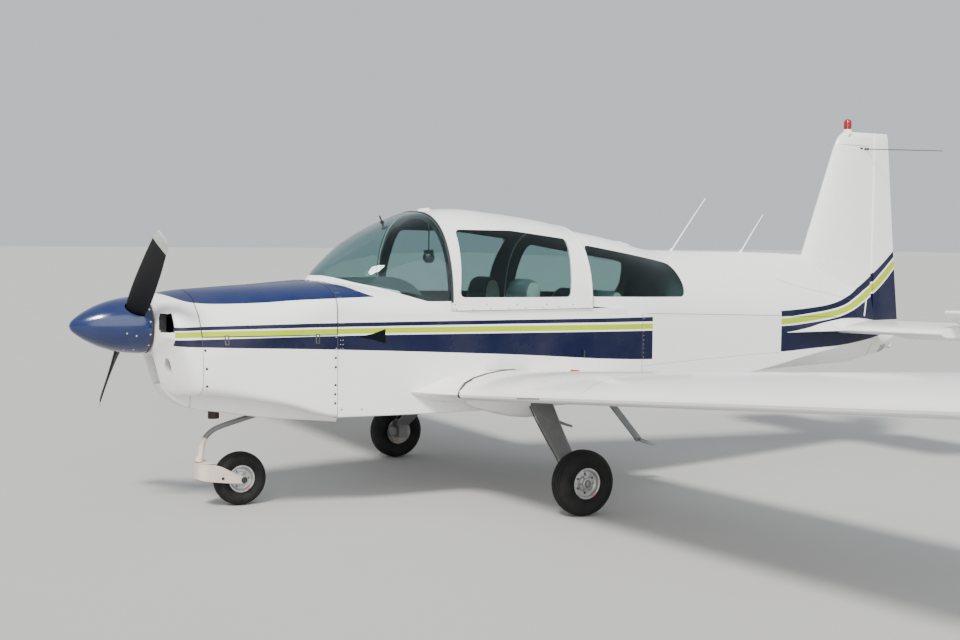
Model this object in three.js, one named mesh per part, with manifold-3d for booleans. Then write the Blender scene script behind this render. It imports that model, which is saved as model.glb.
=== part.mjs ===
// A four-seat low-wing light aeroplane with a sliding canopy, parked on its tricycle gear.
// Millimetres. +X points to the nose, +Y to port, +Z up. The origin is on the ground, midway
// between the spinner's tip and the rudder's foot, in the plane of symmetry.
import * as THREE from "three";
import { mergeVertices } from "three/addons/utils/BufferGeometryUtils.js";
import Module from "manifold-3d";

const wasm = await Module();
wasm.setup();

// Driving dimensions
const LENGTH = 6710;
const HALF_SPAN = 4800;
const SPINNER_TIP_X = LENGTH / 2;
const THRUST_Z = 1135;
const FIREWALL_X = 1885;
const BOWL_SEAM_X = 2700;
const CANOPY_FRONT_X = 1120;
const CANOPY_REAR_X = 50;
const REAR_CABIN_FRONT_X = 100;
const REAR_CABIN_BACK_X = -900;
const TUB_REAR_X = -400;
const TAIL_POST_X = -3000;
const GAP = 0.3;
const RUNNING_GAP = 7;

// Paint and material colours
const LOOKS = {
  white: { color: 0xf1efea, roughness: 0.25, metalness: 0 },
  navy: { color: 0x141b3c, roughness: 0.25, metalness: 0 },
  blue: { color: 0x1f3c84, roughness: 0.25, metalness: 0 },
  glass: { color: 0x9fc4bf, roughness: 0.05, metalness: 0 },
  black: { color: 0x101112, roughness: 0.55, metalness: 0 },
  grey: { color: 0x5d5f60, roughness: 0.5, metalness: 0.3 },
  cream: { color: 0xd9d3bf, roughness: 0.45, metalness: 0 },
  metal: { color: 0x8b8d8e, roughness: 0.45, metalness: 0.8 },
  tyre: { color: 0x1b1b1c, roughness: 0.9, metalness: 0 },
  seat: { color: 0x5c6468, roughness: 0.8, metalness: 0 },
  red: { color: 0xb3122a, roughness: 0.2, metalness: 0 },
};

const aircraft = new THREE.Group();

// Shape helpers

// A closed triangle mesh as a solid, turned outside out if its faces point in.
function solidFrom(positions, indices) {
  let volume = 0;
  const a = new THREE.Vector3();
  const b = new THREE.Vector3();
  const c = new THREE.Vector3();
  const kept = [];
  for (let i = 0; i < indices.length; i += 3) {
    const [p, q, r] = [indices[i], indices[i + 1], indices[i + 2]];
    if (p === q || q === r || r === p) continue;
    kept.push(p, q, r);
    a.fromArray(positions, 3 * p);
    b.fromArray(positions, 3 * q);
    c.fromArray(positions, 3 * r);
    volume += a.dot(b.cross(c));
  }
  if (volume < 0) kept.reverse();
  const mesh = new wasm.Mesh({
    numProp: 3,
    vertProperties: new Float32Array(positions),
    triVerts: new Uint32Array(kept),
  });
  return new wasm.Manifold(mesh);
}

// A three.js geometry as a solid.
function solidOf(geometry) {
  const bare = geometry.clone();
  bare.deleteAttribute("normal");
  bare.deleteAttribute("uv");
  const merged = mergeVertices(bare, 0.001);
  return solidFrom(merged.attributes.position.array, merged.index.array);
}

// A solid's faces as a three.js geometry.
function geometryOf(solid) {
  const mesh = solid.getMesh();
  const geometry = new THREE.BufferGeometry();
  geometry.setAttribute("position", new THREE.BufferAttribute(mesh.vertProperties, 3));
  geometry.setIndex(new THREE.BufferAttribute(mesh.triVerts, 1));
  return geometry;
}

// The solid turned by a quaternion about a point, then moved on.
function turnedSolid(solid, quaternion, [x, y, z], [dx, dy, dz] = [0, 0, 0]) {
  const geometry = geometryOf(solid).translate(-x, -y, -z).applyQuaternion(quaternion);
  geometry.translate(x + dx, y + dy, z + dz);
  return solidFrom(geometry.attributes.position.array, geometry.index.array);
}

// The same solid on the other side of the plane of symmetry.
function mirrored(solid) {
  const mesh = solid.getMesh();
  const positions = mesh.vertProperties.map((value, i) => (i % 3 === 1 ? -value : value));
  return solidFrom(positions, mesh.triVerts);
}

// Puts a solid into the model as a named mesh with its own material.
function place(name, solid, look, parent = aircraft) {
  const geometry = geometryOf(solid);
  geometry.computeVertexNormals();
  const piece = new THREE.Mesh(geometry, new THREE.MeshStandardMaterial(LOOKS[look]));
  piece.name = name;
  parent.add(piece);
}

// Port piece as built, starboard piece as its mirror image.
function placePair(name, solid, look) {
  place(`${name}_port`, solid, look);
  place(`${name}_starboard`, mirrored(solid), look);
}

// A body lofted through rings of [x, y, z] points, with ends fanned from their middles.
function loft(rings) {
  const count = rings[0].length;
  const positions = rings.flat(2);
  const indices = [];
  for (let ring = 0; ring < rings.length - 1; ring++) {
    for (let i = 0; i < count; i++) {
      const next = (i + 1) % count;
      const [a, b] = [ring * count + i, ring * count + next];
      indices.push(a, b, b + count, a, b + count, a + count);
    }
  }
  for (const [ring, turned] of [[0, true], [rings.length - 1, false]]) {
    const centre = positions.length / 3;
    for (let axis = 0; axis < 3; axis++) {
      positions.push(rings[ring].reduce((sum, point) => sum + point[axis], 0) / count);
    }
    for (let i = 0; i < count; i++) {
      const [a, b] = [ring * count + i, ring * count + ((i + 1) % count)];
      indices.push(...(turned ? [b, a, centre] : [a, b, centre]));
    }
  }
  return solidFrom(positions, indices);
}

// A closed ring at station x from port side points [y, z] that end in the plane of symmetry,
// and start there too unless the ring has a flat foot.
function mirroredRing(x, side, flatFoot = false) {
  const port = side.map(([y, z]) => [x, y, z]);
  const starboard = side.slice(flatFoot ? 0 : 1, -1).map(([y, z]) => [x, -y, z]);
  return [...port, ...starboard.reverse()];
}

// A side view outline of [x, z] points, extruded across from y0 to y1.
function sidePrism(points, y0, y1) {
  const shape = new THREE.Shape(points.map(([x, z]) => new THREE.Vector2(x, z)));
  const geometry = new THREE.ExtrudeGeometry(shape, { depth: y1 - y0, bevelEnabled: false });
  geometry.rotateX(Math.PI / 2).translate(0, y1, 0);
  return solidOf(geometry);
}

// A front view outline of [y, z] points, extruded from x0 to x1.
function frontPrism(points, x0, x1) {
  const shape = new THREE.Shape(points.map(([y, z]) => new THREE.Vector2(y, z)));
  const geometry = new THREE.ExtrudeGeometry(shape, { depth: x1 - x0, bevelEnabled: false });
  geometry.rotateZ(Math.PI / 2).rotateY(Math.PI / 2).translate(x0, 0, 0);
  return solidOf(geometry);
}

function box([x0, x1], [y0, y1], [z0, z1]) {
  const geometry = new THREE.BoxGeometry(x1 - x0, y1 - y0, z1 - z0);
  return solidOf(geometry.translate((x0 + x1) / 2, (y0 + y1) / 2, (z0 + z1) / 2));
}

// Everything between two stations, wide and high enough to hold the aircraft.
const WIDE = [-900, 900];
const HIGH = [0, 3000];
const slab = (x0, x1, z = HIGH) => box([x0, x1], WIDE, z);

// A turned body: profile of [radius, along] points about the Y axis.
function turned(profile, segments) {
  const points = profile.map(([radius, along]) => new THREE.Vector2(radius, along));
  return new THREE.LatheGeometry(points, segments);
}

// A round rod from one point to another.
function rod(from, to, radius, segments = 10, endRadius = radius) {
  const along = new THREE.Vector3(...to).sub(new THREE.Vector3(...from));
  const geometry = new THREE.CylinderGeometry(endRadius, radius, along.length(), segments);
  const turn = new THREE.Quaternion().setFromUnitVectors(new THREE.Vector3(0, 1, 0), along.normalize());
  geometry.applyQuaternion(turn);
  geometry.translate((from[0] + to[0]) / 2, (from[1] + to[1]) / 2, (from[2] + to[2]) / 2);
  return solidOf(geometry);
}

// A round tube bent along a smooth path through the points.
function bentRod(points, radius, steps) {
  const path = new THREE.CatmullRomCurve3(points.map((point) => new THREE.Vector3(...point)));
  const shape = new THREE.Shape();
  shape.absarc(0, 0, radius, 0, 2 * Math.PI);
  return solidOf(new THREE.ExtrudeGeometry(shape, { steps, extrudePath: path, curveSegments: 5 }));
}

// Value of one column at station x, on a smooth curve that never overshoots its rows.
function at(rows, column, x) {
  const keys = rows.map((row) => row[0]);
  const values = rows.map((row) => row[column]);
  const last = keys.length - 1;
  const rising = keys[last] > keys[0];
  let i = 0;
  while (i < last - 1 && (rising ? x > keys[i + 1] : x < keys[i + 1])) i++;
  const slope = (k) => (values[k + 1] - values[k]) / (keys[k + 1] - keys[k]);
  const tangent = (k) => {
    if (k === 0) return slope(0);
    if (k === last) return slope(last - 1);
    const [before, after] = [slope(k - 1), slope(k)];
    return before * after <= 0 ? 0 : (2 * before * after) / (before + after);
  };
  const step = keys[i + 1] - keys[i];
  const t = Math.min(Math.max((x - keys[i]) / step, 0), 1);
  const [t2, t3] = [t * t, t * t * t];
  return (
    (2 * t3 - 3 * t2 + 1) * values[i] +
    (t3 - 2 * t2 + t) * step * tangent(i) +
    (3 * t2 - 2 * t3) * values[i + 1] +
    (t3 - t2) * step * tangent(i + 1)
  );
}

// A table of stations, read at any station as an object of its named columns.
function stationTable(columns, rows) {
  return (x) => Object.fromEntries(columns.map((name, i) => [name, at(rows, i + 1, x)]));
}

// Quarter of a rounded outline from the side (t = 0) to the middle (t = 1).
function quarter(half, rise, power, t) {
  const angle = (t * Math.PI) / 2;
  return [half * Math.cos(angle) ** (2 / power), rise * Math.sin(angle) ** (2 / power)];
}

// Fuselage body below the glass
const BODY_ROWS = [
  [1885, 520, 572, 600, 1203, 520, 1392, 2.8, 7],
  [1500, 540, 568, 594, 1196, 540, 1402, 2.3, 7],
  [1120, 550, 566, 591, 1190, 550, 1408, 2.2, 7],
  [600, 552, 566, 591, 1182, 540, 1500, 2.6, 7],
  [100, 537, 568, 595, 1174, 514, 1740, 2.5, 6],
  [-250, 512, 574, 603, 1168, 502, 1697, 2.4, 5],
  [-400, 497, 578, 612, 1165, 494, 1670, 2.3, 4],
  [-820, 438, 595, 642, 1150, 438, 1592, 2.0, 3],
  [-1600, 322, 655, 715, 1120, 322, 1583, 1.5, 2.4],
  [-2250, 212, 689, 806, 1090, 212, 1563, 1.35, 2],
  [-2800, 120, 707, 872, 1070, 120, 1420, 1.3, 1.8],
  [-3000, 88, 745, 890, 1060, 88, 1350, 1.3, 1.8],
];
const bodyAt = stationTable(
  ["half", "keel", "edge", "seam", "topHalf", "crown", "topPower", "bellyPower"],
  BODY_ROWS,
);
const BELLY_STEPS = 5;
const TOP_STEPS = 9;

// One ring of the body; inset moves it inwards, all round.
function bodyRing(x, inset = 0) {
  const body = bodyAt(x);
  const half = body.half - inset;
  const side = [];
  for (let i = 0; i < BELLY_STEPS; i++) {
    const share = 1 - i / BELLY_STEPS;
    const [y, z] = quarter(half, body.edge - body.keel - inset, body.bellyPower, share);
    side.push([y, body.edge - z]);
  }
  side.push([half, body.edge], [half, body.seam - 1]);
  for (let i = 0; i <= TOP_STEPS; i++) {
    const rise = body.crown - body.seam - inset;
    const [y, z] = quarter(body.topHalf - inset, rise, body.topPower, i / TOP_STEPS);
    side.push([y, body.seam + z]);
  }
  return mirroredRing(x, side);
}

const bodyLoft = (stations, inset = 0) => loft(stations.map((x) => bodyRing(x, inset)));

// Everything below the seam line, which the glass and the tail cone's top stand on.
const SEAM_ROWS = BODY_ROWS.filter(([x]) => x !== 600).map((row) => [row[0], row[4]]);
function belowSeam(lower = 0) {
  const [first, last] = [SEAM_ROWS[0], SEAM_ROWS[SEAM_ROWS.length - 1]];
  const top = SEAM_ROWS.map(([x, z]) => [x, z - lower]);
  const ends = [[-3500, last[1] - lower], [-3500, 0], [2500, 0]];
  return sidePrism([[2500, first[1] - lower], ...top, ...ends], -900, 900);
}

// Cabin tub: flat bonded sides, floor, firewall and the bulkhead behind the baggage bay.
const WALL = 22;
const FLOOR_TOP_Z = 600;
const END_WALL = 14;
const CABIN_STATIONS = [1500, 1120, 600, 100, -250];
const tubInside = bodyLoft([FIREWALL_X - END_WALL, ...CABIN_STATIONS, TUB_REAR_X + END_WALL], WALL);
const bodyFit = bodyLoft([2200, ...CABIN_STATIONS, TUB_REAR_X, -820], -GAP);
const tub = bodyLoft([FIREWALL_X, ...CABIN_STATIONS, TUB_REAR_X])
  .intersect(belowSeam(GAP))
  .subtract(tubInside.subtract(slab(-900, 2500, [0, FLOOR_TOP_Z])));
place("cabin_tub", tub, "white");

// Glasshouse: windshield and sliding canopy over the cabin
const hoodAt = stationTable(["half", "sill", "crown", "power"], [
  [1872, 60, 1300, 1398, 2.1],
  [1835, 150, 1270, 1430, 2.1],
  [1756, 265, 1240, 1501, 2.15],
  [1576, 400, 1220, 1642, 2.25],
  [1448, 460, 1210, 1714, 2.35],
  [1330, 505, 1205, 1768, 2.4],
  [1120, 550, 1200, 1838, 2.5],
  [850, 563, 1198, 1860, 2.5],
  [580, 563, 1196, 1838, 2.5],
  [300, 556, 1195, 1806, 2.5],
  [50, 546, 1194, 1762, 2.5],
  [-50, 540, 1193, 1742, 2.5],
]);
const HOOD_STEPS = 10;
const HOOD_SKIRT = 150;

function hoodRing(x, inset = 0) {
  const hood = hoodAt(x);
  const half = Math.max(hood.half - inset, 5);
  const side = [[half, hood.sill - HOOD_SKIRT]];
  for (let i = 0; i <= HOOD_STEPS; i++) {
    const [y, z] = quarter(half, hood.crown - hood.sill - inset, hood.power, i / HOOD_STEPS);
    side.push([y, hood.sill + z]);
  }
  return mirroredRing(x, side, true);
}

const hoodLoft = (stations, inset = 0) => loft(stations.map((x) => hoodRing(x, inset)));

const SCREEN_MIDDLE = [1835, 1756, 1660, 1576, 1448, 1330, 1220];
const SCREEN_STATIONS = [1872, ...SCREEN_MIDDLE, CANOPY_FRONT_X];
// Foot of the windshield in side view, from its nose back to the canopy.
const SCREEN_FOOT = [
  [1990, 1426], [1811, 1425], [1768, 1414], [1674, 1385], [1565, 1359], [1447, 1323], [1367, 1297],
  [1321, 1281], [1295, 1273], [1000, 1273],
];
const footLine = (drop) => SCREEN_FOOT.map(([x, z]) => [x, z - drop]);
const aboveFoot = (drop) => sidePrism([...footLine(drop), [1000, 2500], [1990, 2500]], -900, 900);
const belowFoot = sidePrism([...footLine(GAP), [1000, 900], [1990, 900]], -900, 900);

// Forward deck: top skin from the firewall to the canopy, with the glareshield under the glass
// and the sill band that the windshield stands on.
const DECK_THICK = 12;
const GLASS_THICK = 7;
const GLARESHIELD_X = 1430;
const SCREEN_BACK_X = CANOPY_FRONT_X + 3;
const DECK_STATIONS = [1700, 1500, 1300];
const deckInner = bodyLoft([FIREWALL_X + 50, ...DECK_STATIONS, CANOPY_FRONT_X - 50], DECK_THICK);
const screenRun = [1905, ...SCREEN_MIDDLE, CANOPY_FRONT_X - 40];
const sillInner = hoodLoft(screenRun, DECK_THICK);
const sillBand = hoodLoft(SCREEN_STATIONS)
  .subtract(sillInner)
  .subtract(deckInner)
  .intersect(belowFoot)
  .intersect(slab(SCREEN_BACK_X, 2000));
const glassZone = hoodLoft(screenRun, -GAP)
  .subtract(hoodLoft(screenRun, GLASS_THICK + GAP))
  .intersect(aboveFoot(GAP));
const deck = bodyLoft([FIREWALL_X, ...DECK_STATIONS, CANOPY_FRONT_X])
  .subtract(deckInner)
  .add(sillBand)
  .subtract(belowSeam())
  .subtract(glassZone)
  .subtract(sillInner.subtract(slab(GLARESHIELD_X, 2500)))
  .subtract(hoodLoft(screenRun, -GAP).intersect(aboveFoot(GAP)).subtract(slab(GLARESHIELD_X, 2500)));
place("forward_deck", deck, "white");

// Windshield: one blown sheet that stands on the deck's sill.
const windshield = hoodLoft(SCREEN_STATIONS)
  .subtract(hoodLoft(screenRun, GLASS_THICK))
  .intersect(aboveFoot(0))
  .intersect(slab(SCREEN_BACK_X, 2500));
place("windshield", windshield, "glass");

// Canopy: one shell with a window cut in each side, sliding aft on the rails.
const CANOPY_THICK = 14;
const CANOPY_FOOT_Z = 1213;
const CANOPY_WINDOW = {
  corners: [[1022, 1722], [1060, 1296], [228, 1288], [205, 1480], [172, 1668], [600, 1719]],
  radius: 34,
};
const REAR_WINDOW = {
  corners: [
    [6, 1631], [-656, 1526], [-778, 1500], [-818, 1420], [-832, 1330], [-808, 1270], [-566, 1274],
    [36, 1285],
  ],
  radius: 42,
};

// A window's outline with its corners rounded, shrunk by a margin.
function windowOutline({ corners, radius }, margin) {
  const points = corners.map(([x, z]) => new THREE.Vector2(x, z));
  const sum = points.reduce((total, point) => total.add(point), new THREE.Vector2());
  const middle = sum.divideScalar(points.length);
  const moved = points.map((point) => {
    const away = point.clone().sub(middle);
    return middle.clone().add(away.multiplyScalar(1 - margin / away.length()));
  });
  const outline = [];
  moved.forEach((corner, i) => {
    const before = moved[(i + moved.length - 1) % moved.length];
    const after = moved[(i + 1) % moved.length];
    const cut = Math.min(radius, 0.45 * corner.distanceTo(before), 0.45 * corner.distanceTo(after));
    const start = corner.clone().add(before.clone().sub(corner).setLength(cut));
    const end = corner.clone().add(after.clone().sub(corner).setLength(cut));
    outline.push(...new THREE.QuadraticBezierCurve(start, corner, end).getPoints(3));
  });
  return outline.map((point) => [point.x, point.y]);
}

const CANOPY_MIDDLE = [985, 850, 580, 300];
const canopyOuter = hoodLoft([CANOPY_FRONT_X - 2, ...CANOPY_MIDDLE, CANOPY_REAR_X]);
const canopyInner = (inset) =>
  hoodLoft([CANOPY_FRONT_X + 60, ...CANOPY_MIDDLE, CANOPY_REAR_X - 60], inset);
const canopyShell = canopyOuter
  .subtract(canopyInner(CANOPY_THICK))
  .intersect(slab(-500, 1500, [CANOPY_FOOT_Z, 2500]))
  .subtract(sidePrism(windowOutline(CANOPY_WINDOW, 0), -900, 900));
place("canopy_shell", canopyShell, "white");
const canopyPane = canopyOuter
  .subtract(canopyInner(GLASS_THICK))
  .intersect(sidePrism(windowOutline(CANOPY_WINDOW, 1), 20, 900));
placePair("canopy_glass", canopyPane, "glass");

// Rear cabin: fixed roof, side windows, parcel shelf and rear wall behind the canopy.
const REAR_MIDDLE = [-60, -250, -400, -600, -820];
const rearOuter = bodyLoft([REAR_CABIN_FRONT_X, ...REAR_MIDDLE, REAR_CABIN_BACK_X]);
const rearRoom = (inset, wall) =>
  bodyLoft([REAR_CABIN_FRONT_X + 50, ...REAR_MIDDLE, REAR_CABIN_BACK_X + wall], inset);
const SHELF = { frontX: -390, bottom: 1170, top: 1182 };
const parcelShelf = rearOuter.intersect(
  slab(REAR_CABIN_BACK_X, SHELF.frontX, [SHELF.bottom, SHELF.top]),
);
const rearCabin = rearOuter
  .subtract(rearRoom(CANOPY_THICK, CANOPY_THICK))
  .add(parcelShelf)
  .subtract(belowSeam())
  .subtract(sidePrism(windowOutline(REAR_WINDOW, 0), -900, 900));
place("rear_cabin", rearCabin, "white");
const rearPane = rearOuter
  .subtract(rearRoom(GLASS_THICK, -50))
  .intersect(sidePrism(windowOutline(REAR_WINDOW, 1), 20, 900));
placePair("rear_glass", rearPane, "glass");

// Canopy rails: a strip along each side's top edge, joined by the fixed hoop at the front.
const RAIL = { rearX: -240, inner: 494, top: 1208, inset: 3 };
const railRing = (x) => {
  const { half, seam } = bodyAt(x);
  const outer = half - RAIL.inset;
  const foot = seam + GAP;
  return [[x, RAIL.inner, foot], [x, outer, foot], [x, outer, RAIL.top], [x, RAIL.inner, RAIL.top]];
};
const railPort = loft([CANOPY_FRONT_X - 2, 850, 600, 350, 100, -60, RAIL.rearX].map(railRing)).subtract(
  bodyLoft([REAR_CABIN_FRONT_X + GAP, ...REAR_MIDDLE], -GAP),
);
const hoop = hoodLoft([CANOPY_FRONT_X + 2, CANOPY_FRONT_X - 40], 22)
  .subtract(hoodLoft([CANOPY_FRONT_X + 40, CANOPY_FRONT_X - 80], 44))
  .intersect(slab(900, CANOPY_FRONT_X + 2, [1195, 2500]));
place("canopy_rails", hoop.add(railPort).add(mirrored(railPort)), "black");

// Tail cone: hollow, open to the baggage bay, solid round the tail post.
const ELEVATOR_HINGE = { x: -2950, y: 200, z: 1008 };
const coneRun = [TUB_REAR_X - GAP, -600, -820, -1200, -1600, -1950, -2250, -2550, -2800, TAIL_POST_X];
const coneInside = [TUB_REAR_X + 60, -600, -820, -1200, -1600, -1950, -2250, -2550];
const tubeHole = rod([ELEVATOR_HINGE.x, -400, 1004], [ELEVATOR_HINGE.x, 400, 1004], 29, 14);
const TAIL_LUG = { x: [-2950, -2890], y: [-12, 12], z: [704, 780] };
const cone = bodyLoft(coneRun)
  .subtract(bodyLoft(coneInside, END_WALL))
  .subtract(slab(REAR_CABIN_BACK_X - GAP, 2500, [800, 2500]).subtract(belowSeam(GAP)))
  .add(box(TAIL_LUG.x, TAIL_LUG.y, TAIL_LUG.z))
  .subtract(tubeHole);
place("tail_cone", cone, "white");

// Fin and rudder
const FIN_ROOT_Z = 1120;
const FIN_TOP_Z = 2432;
const CAP_TOP_Z = 2535;
const RUDDER_HINGE_X = -3038;
const RUDDER_FOOT_Z = 1036;
const FIN_SWEEP = 318 / 855;
const FIN_THICK = 150;
const FIN_TAPER = 0.045;
const finLead = (z) => -2300 - (z - 1580) * FIN_SWEEP;
const RUDDER_TRAIL = [[1036, -3355], [1586, -3290], [2535, -3192]];

// Half thickness of a symmetric foil at a share s of its chord.
const FOIL_SIDE = [0, 0.02, 0.07, 0.16, 0.3, 0.5, 0.75, 1];
const EDGE_HALF = 0.0012;
function foilHalf(s, thick) {
  const cubic = 0.2843 * s ** 3 - 0.1015 * s ** 4;
  const spread = 0.2969 * Math.sqrt(s) - 0.126 * s - 0.3516 * s * s + cubic;
  return Math.max(5 * thick * spread, s > 0 ? EDGE_HALF : 0);
}

// A foil ring at height z, from its leading edge to its trailing edge.
function finRing({ z, lead, trail, thickness }) {
  const chord = lead - trail;
  const port = FOIL_SIDE.map((s) => [lead - s * chord, thickness * foilHalf(s, 1), z]);
  const starboard = port.slice(1).map(([x, y]) => [x, -y, z]).reverse();
  return [...port, ...starboard];
}

// The fin's outline by height: setback of the leading edge, share of the full thickness.
const finRows = [
  { z: FIN_ROOT_Z, setback: 0, share: 1 },
  { z: 1580, setback: 0, share: 1 },
  { z: 1850, setback: 0, share: 1 },
  { z: 2150, setback: 0, share: 1 },
  { z: FIN_TOP_Z, setback: 0, share: 1 },
  { z: CAP_TOP_Z - 45, setback: 14, share: 0.9 },
  { z: CAP_TOP_Z - 12, setback: 42, share: 0.66 },
  { z: CAP_TOP_Z, setback: 80, share: 0.3 },
].map(({ z, setback, share }) => ({
  z,
  lead: finLead(z) - setback,
  trail: at(RUDDER_TRAIL, 1, z) + setback / 8,
  thickness: (FIN_THICK - (z - FIN_ROOT_Z) * FIN_TAPER) * share,
}));
const finBlade = loft(finRows.map(finRing));
const bodyAtFin = bodyLoft([-1600, -1950, -2250, -2550, -2800, TAIL_POST_X], -GAP);
// Cross rod of the V antenna, through the fin.
const NAV_ROD = { x: -2907, z: 2405, radius: 11, half: 40 };
const navRod = (half, radius) => rod([NAV_ROD.x, -half, NAV_ROD.z], [NAV_ROD.x, half, NAV_ROD.z], radius, 12);
const fin = finBlade
  .intersect(slab(TAIL_POST_X, -1500, [1200, FIN_TOP_Z]))
  .subtract(bodyAtFin)
  .subtract(navRod(90, NAV_ROD.radius + GAP));
place("fin", fin, "white");
place("fin_cap", finBlade.intersect(slab(TAIL_POST_X, -1500, [FIN_TOP_Z + GAP, 3000])), "white");

const RUDDER_BARREL = 22;
const rudderFoot = {
  z: RUDDER_FOOT_Z,
  lead: -2250,
  trail: at(RUDDER_TRAIL, 1, RUDDER_FOOT_Z),
  thickness: FIN_THICK,
};
const rudderBarrel = rod(
  [RUDDER_HINGE_X, 0, RUDDER_FOOT_Z], [RUDDER_HINGE_X, 0, CAP_TOP_Z + 5], RUDDER_BARREL, 14,
);
const rudderReach = slab(-3400, RUDDER_HINGE_X, [RUDDER_FOOT_Z, 3000]).add(rudderBarrel);
place("rudder", loft([rudderFoot, ...finRows.slice(1)].map(finRing)).intersect(rudderReach), "white");

// Beacon: red dome on the fin cap.
const BEACON = { x: -2752, baseTop: CAP_TOP_Z + 34, baseRadius: 31 };
const beaconProfile = [[0, 0], [27, 0], [27, 30], [22, 52], [12, 64], [0, 68]];
const beaconDome = turned(beaconProfile, 16).rotateX(Math.PI / 2).translate(BEACON.x, 0, BEACON.baseTop);
const finGrown = ({ z, lead, trail, thickness }) =>
  finRing({ z: z + GAP, lead: lead + GAP, trail, thickness: thickness + 1 });
const beacon = solidOf(beaconDome)
  .add(rod([BEACON.x, 0, CAP_TOP_Z - 90], [BEACON.x, 0, BEACON.baseTop], BEACON.baseRadius, 16))
  .subtract(loft(finRows.map(finGrown)));
place("beacon", beacon, "red");

// Tail fairing: closes the cone below the rudder and turns up at its end.
const TAIL_FAIRING = [
  { x: TAIL_POST_X - GAP, half: 86, bottom: 745, top: 1000 },
  { x: -3080, half: 70, bottom: 762, top: 985 },
  { x: -3170, half: 52, bottom: 779, top: 968 },
  { x: -3240, half: 36, bottom: 815, top: 950 },
  { x: -3295, half: 20, bottom: 868, top: 935 },
];
const FAIRING_SIDES = 16;
const fairingRing = ({ x, half, bottom, top }) =>
  Array.from({ length: FAIRING_SIDES }, (_, i) => {
    const angle = (i / FAIRING_SIDES) * 2 * Math.PI;
    const rise = ((top - bottom) / 2) * Math.sin(angle);
    return [x, half * Math.cos(angle), (bottom + top) / 2 + rise];
  });
place("tail_fairing", loft(TAIL_FAIRING.map(fairingRing)), "navy");

// Engine cowling
const cowlAt = stationTable(
  ["half", "shoulder", "crown", "topPower", "edge", "shelf", "sidePower", "chinHalf", "chin"],
  [
    [2895, 235, 1100, 1252, 2.1, 1085, 985, 1.3, 75, 975],
    [2882, 315, 1098, 1281, 2.1, 1080, 965, 1.1, 80, 950],
    [2862, 362, 1090, 1303, 2.15, 1075, 895, 1.0, 80, 882],
    [2830, 402, 1070, 1319, 2.2, 1050, 780, 1.15, 85, 765],
    [2780, 427, 1030, 1331, 2.25, 1000, 712, 1.7, 140, 692],
    [2700, 452, 900, 1341, 2.3, 898, 729, 4, 205, 642],
    [2500, 468, 960, 1354, 2.4, 850, 708, 5, 235, 608],
    [2200, 497, 1090, 1371, 2.6, 760, 655, 6, 262, 560],
    [1885, 520, 1203, 1392, 2.8, 640, 573, 6, 270, 528],
    [1780, 525, 1203, 1398, 2.8, 632, 568, 6, 270, 516],
  ],
);
const COWL_THICK = 9;
const COWL_STATIONS = [2895, 2882, 2862, 2830, 2780, 2700, 2600, 2500, 2350, 2200, 2040, 1885];
// Points of the lower corner, as shares of the way from the chin to the side.
const COWL_CORNER = [0, 0.35, 0.6, 0.8, 0.92, 1];
const CHIN_CORNER = 26;

function cowlRing(x, inset = 0) {
  const cowl = cowlAt(x);
  const [half, chinHalf, chin] = [cowl.half - inset, cowl.chinHalf - inset, cowl.chin + inset];
  const side = [[0, chin], [chinHalf - CHIN_CORNER, chin], [chinHalf, chin + CHIN_CORNER / 2]];
  const inner = chinHalf + CHIN_CORNER / 2;
  for (const across of COWL_CORNER) {
    const up = 1 - (1 - across ** cowl.sidePower) ** (1 / cowl.sidePower);
    const rise = up * (cowl.edge - cowl.shelf);
    side.push([inner + across * (half - inner), cowl.shelf + inset * (1 - across) + rise]);
  }
  for (let i = 0; i <= TOP_STEPS; i++) {
    const [y, z] = quarter(half, cowl.crown - cowl.shoulder - inset, cowl.topPower, i / TOP_STEPS);
    side.push([y, cowl.shoulder + z]);
  }
  return mirroredRing(x, side);
}

const cowlLoft = (stations, inset = 0) => loft(stations.map((x) => cowlRing(x, inset)));

const underTub = cowlLoft([2200, 1885, 1780]).subtract(bodyFit).intersect(box([1700, 2200], [-300, 300], [0, 620]));
const cowlSkin = cowlLoft(COWL_STATIONS)
  .intersect(slab(FIREWALL_X + GAP, 3000))
  .add(underTub)
  .subtract(cowlLoft([2884, 2872, 2852, 2822, 2775, 2700, 2600, 2500, 2350, 2200, 2040, 1885, 1700], COWL_THICK));

// Nose bowl with its two cooling inlets, the shaft's hole, the scoop and the oval duct.
const INLET = [[222, 1104], [322, 1104], [345, 1122], [338, 1180], [318, 1212], [222, 1212]];
const inletHole = frontPrism(INLET, 2790, 3000);
const shaftHole = rod([2750, 0, THRUST_Z], [3000, 0, THRUST_Z], 62, 20);
const scoopHole = frontPrism([[-70, 772], [70, 772], [70, 945], [52, 962], [-52, 962], [-70, 945]], 2790, 3000);
const ductHole = rod([2740, 195, 905], [2960, 255, 893], 36, 16);
const bowl = cowlSkin
  .intersect(slab(BOWL_SEAM_X, 3000))
  .subtract(inletHole)
  .subtract(mirrored(inletHole))
  .subtract(shaftHole)
  .subtract(scoopHole)
  .subtract(ductHole);
place("nose_bowl", bowl, "white");

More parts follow.
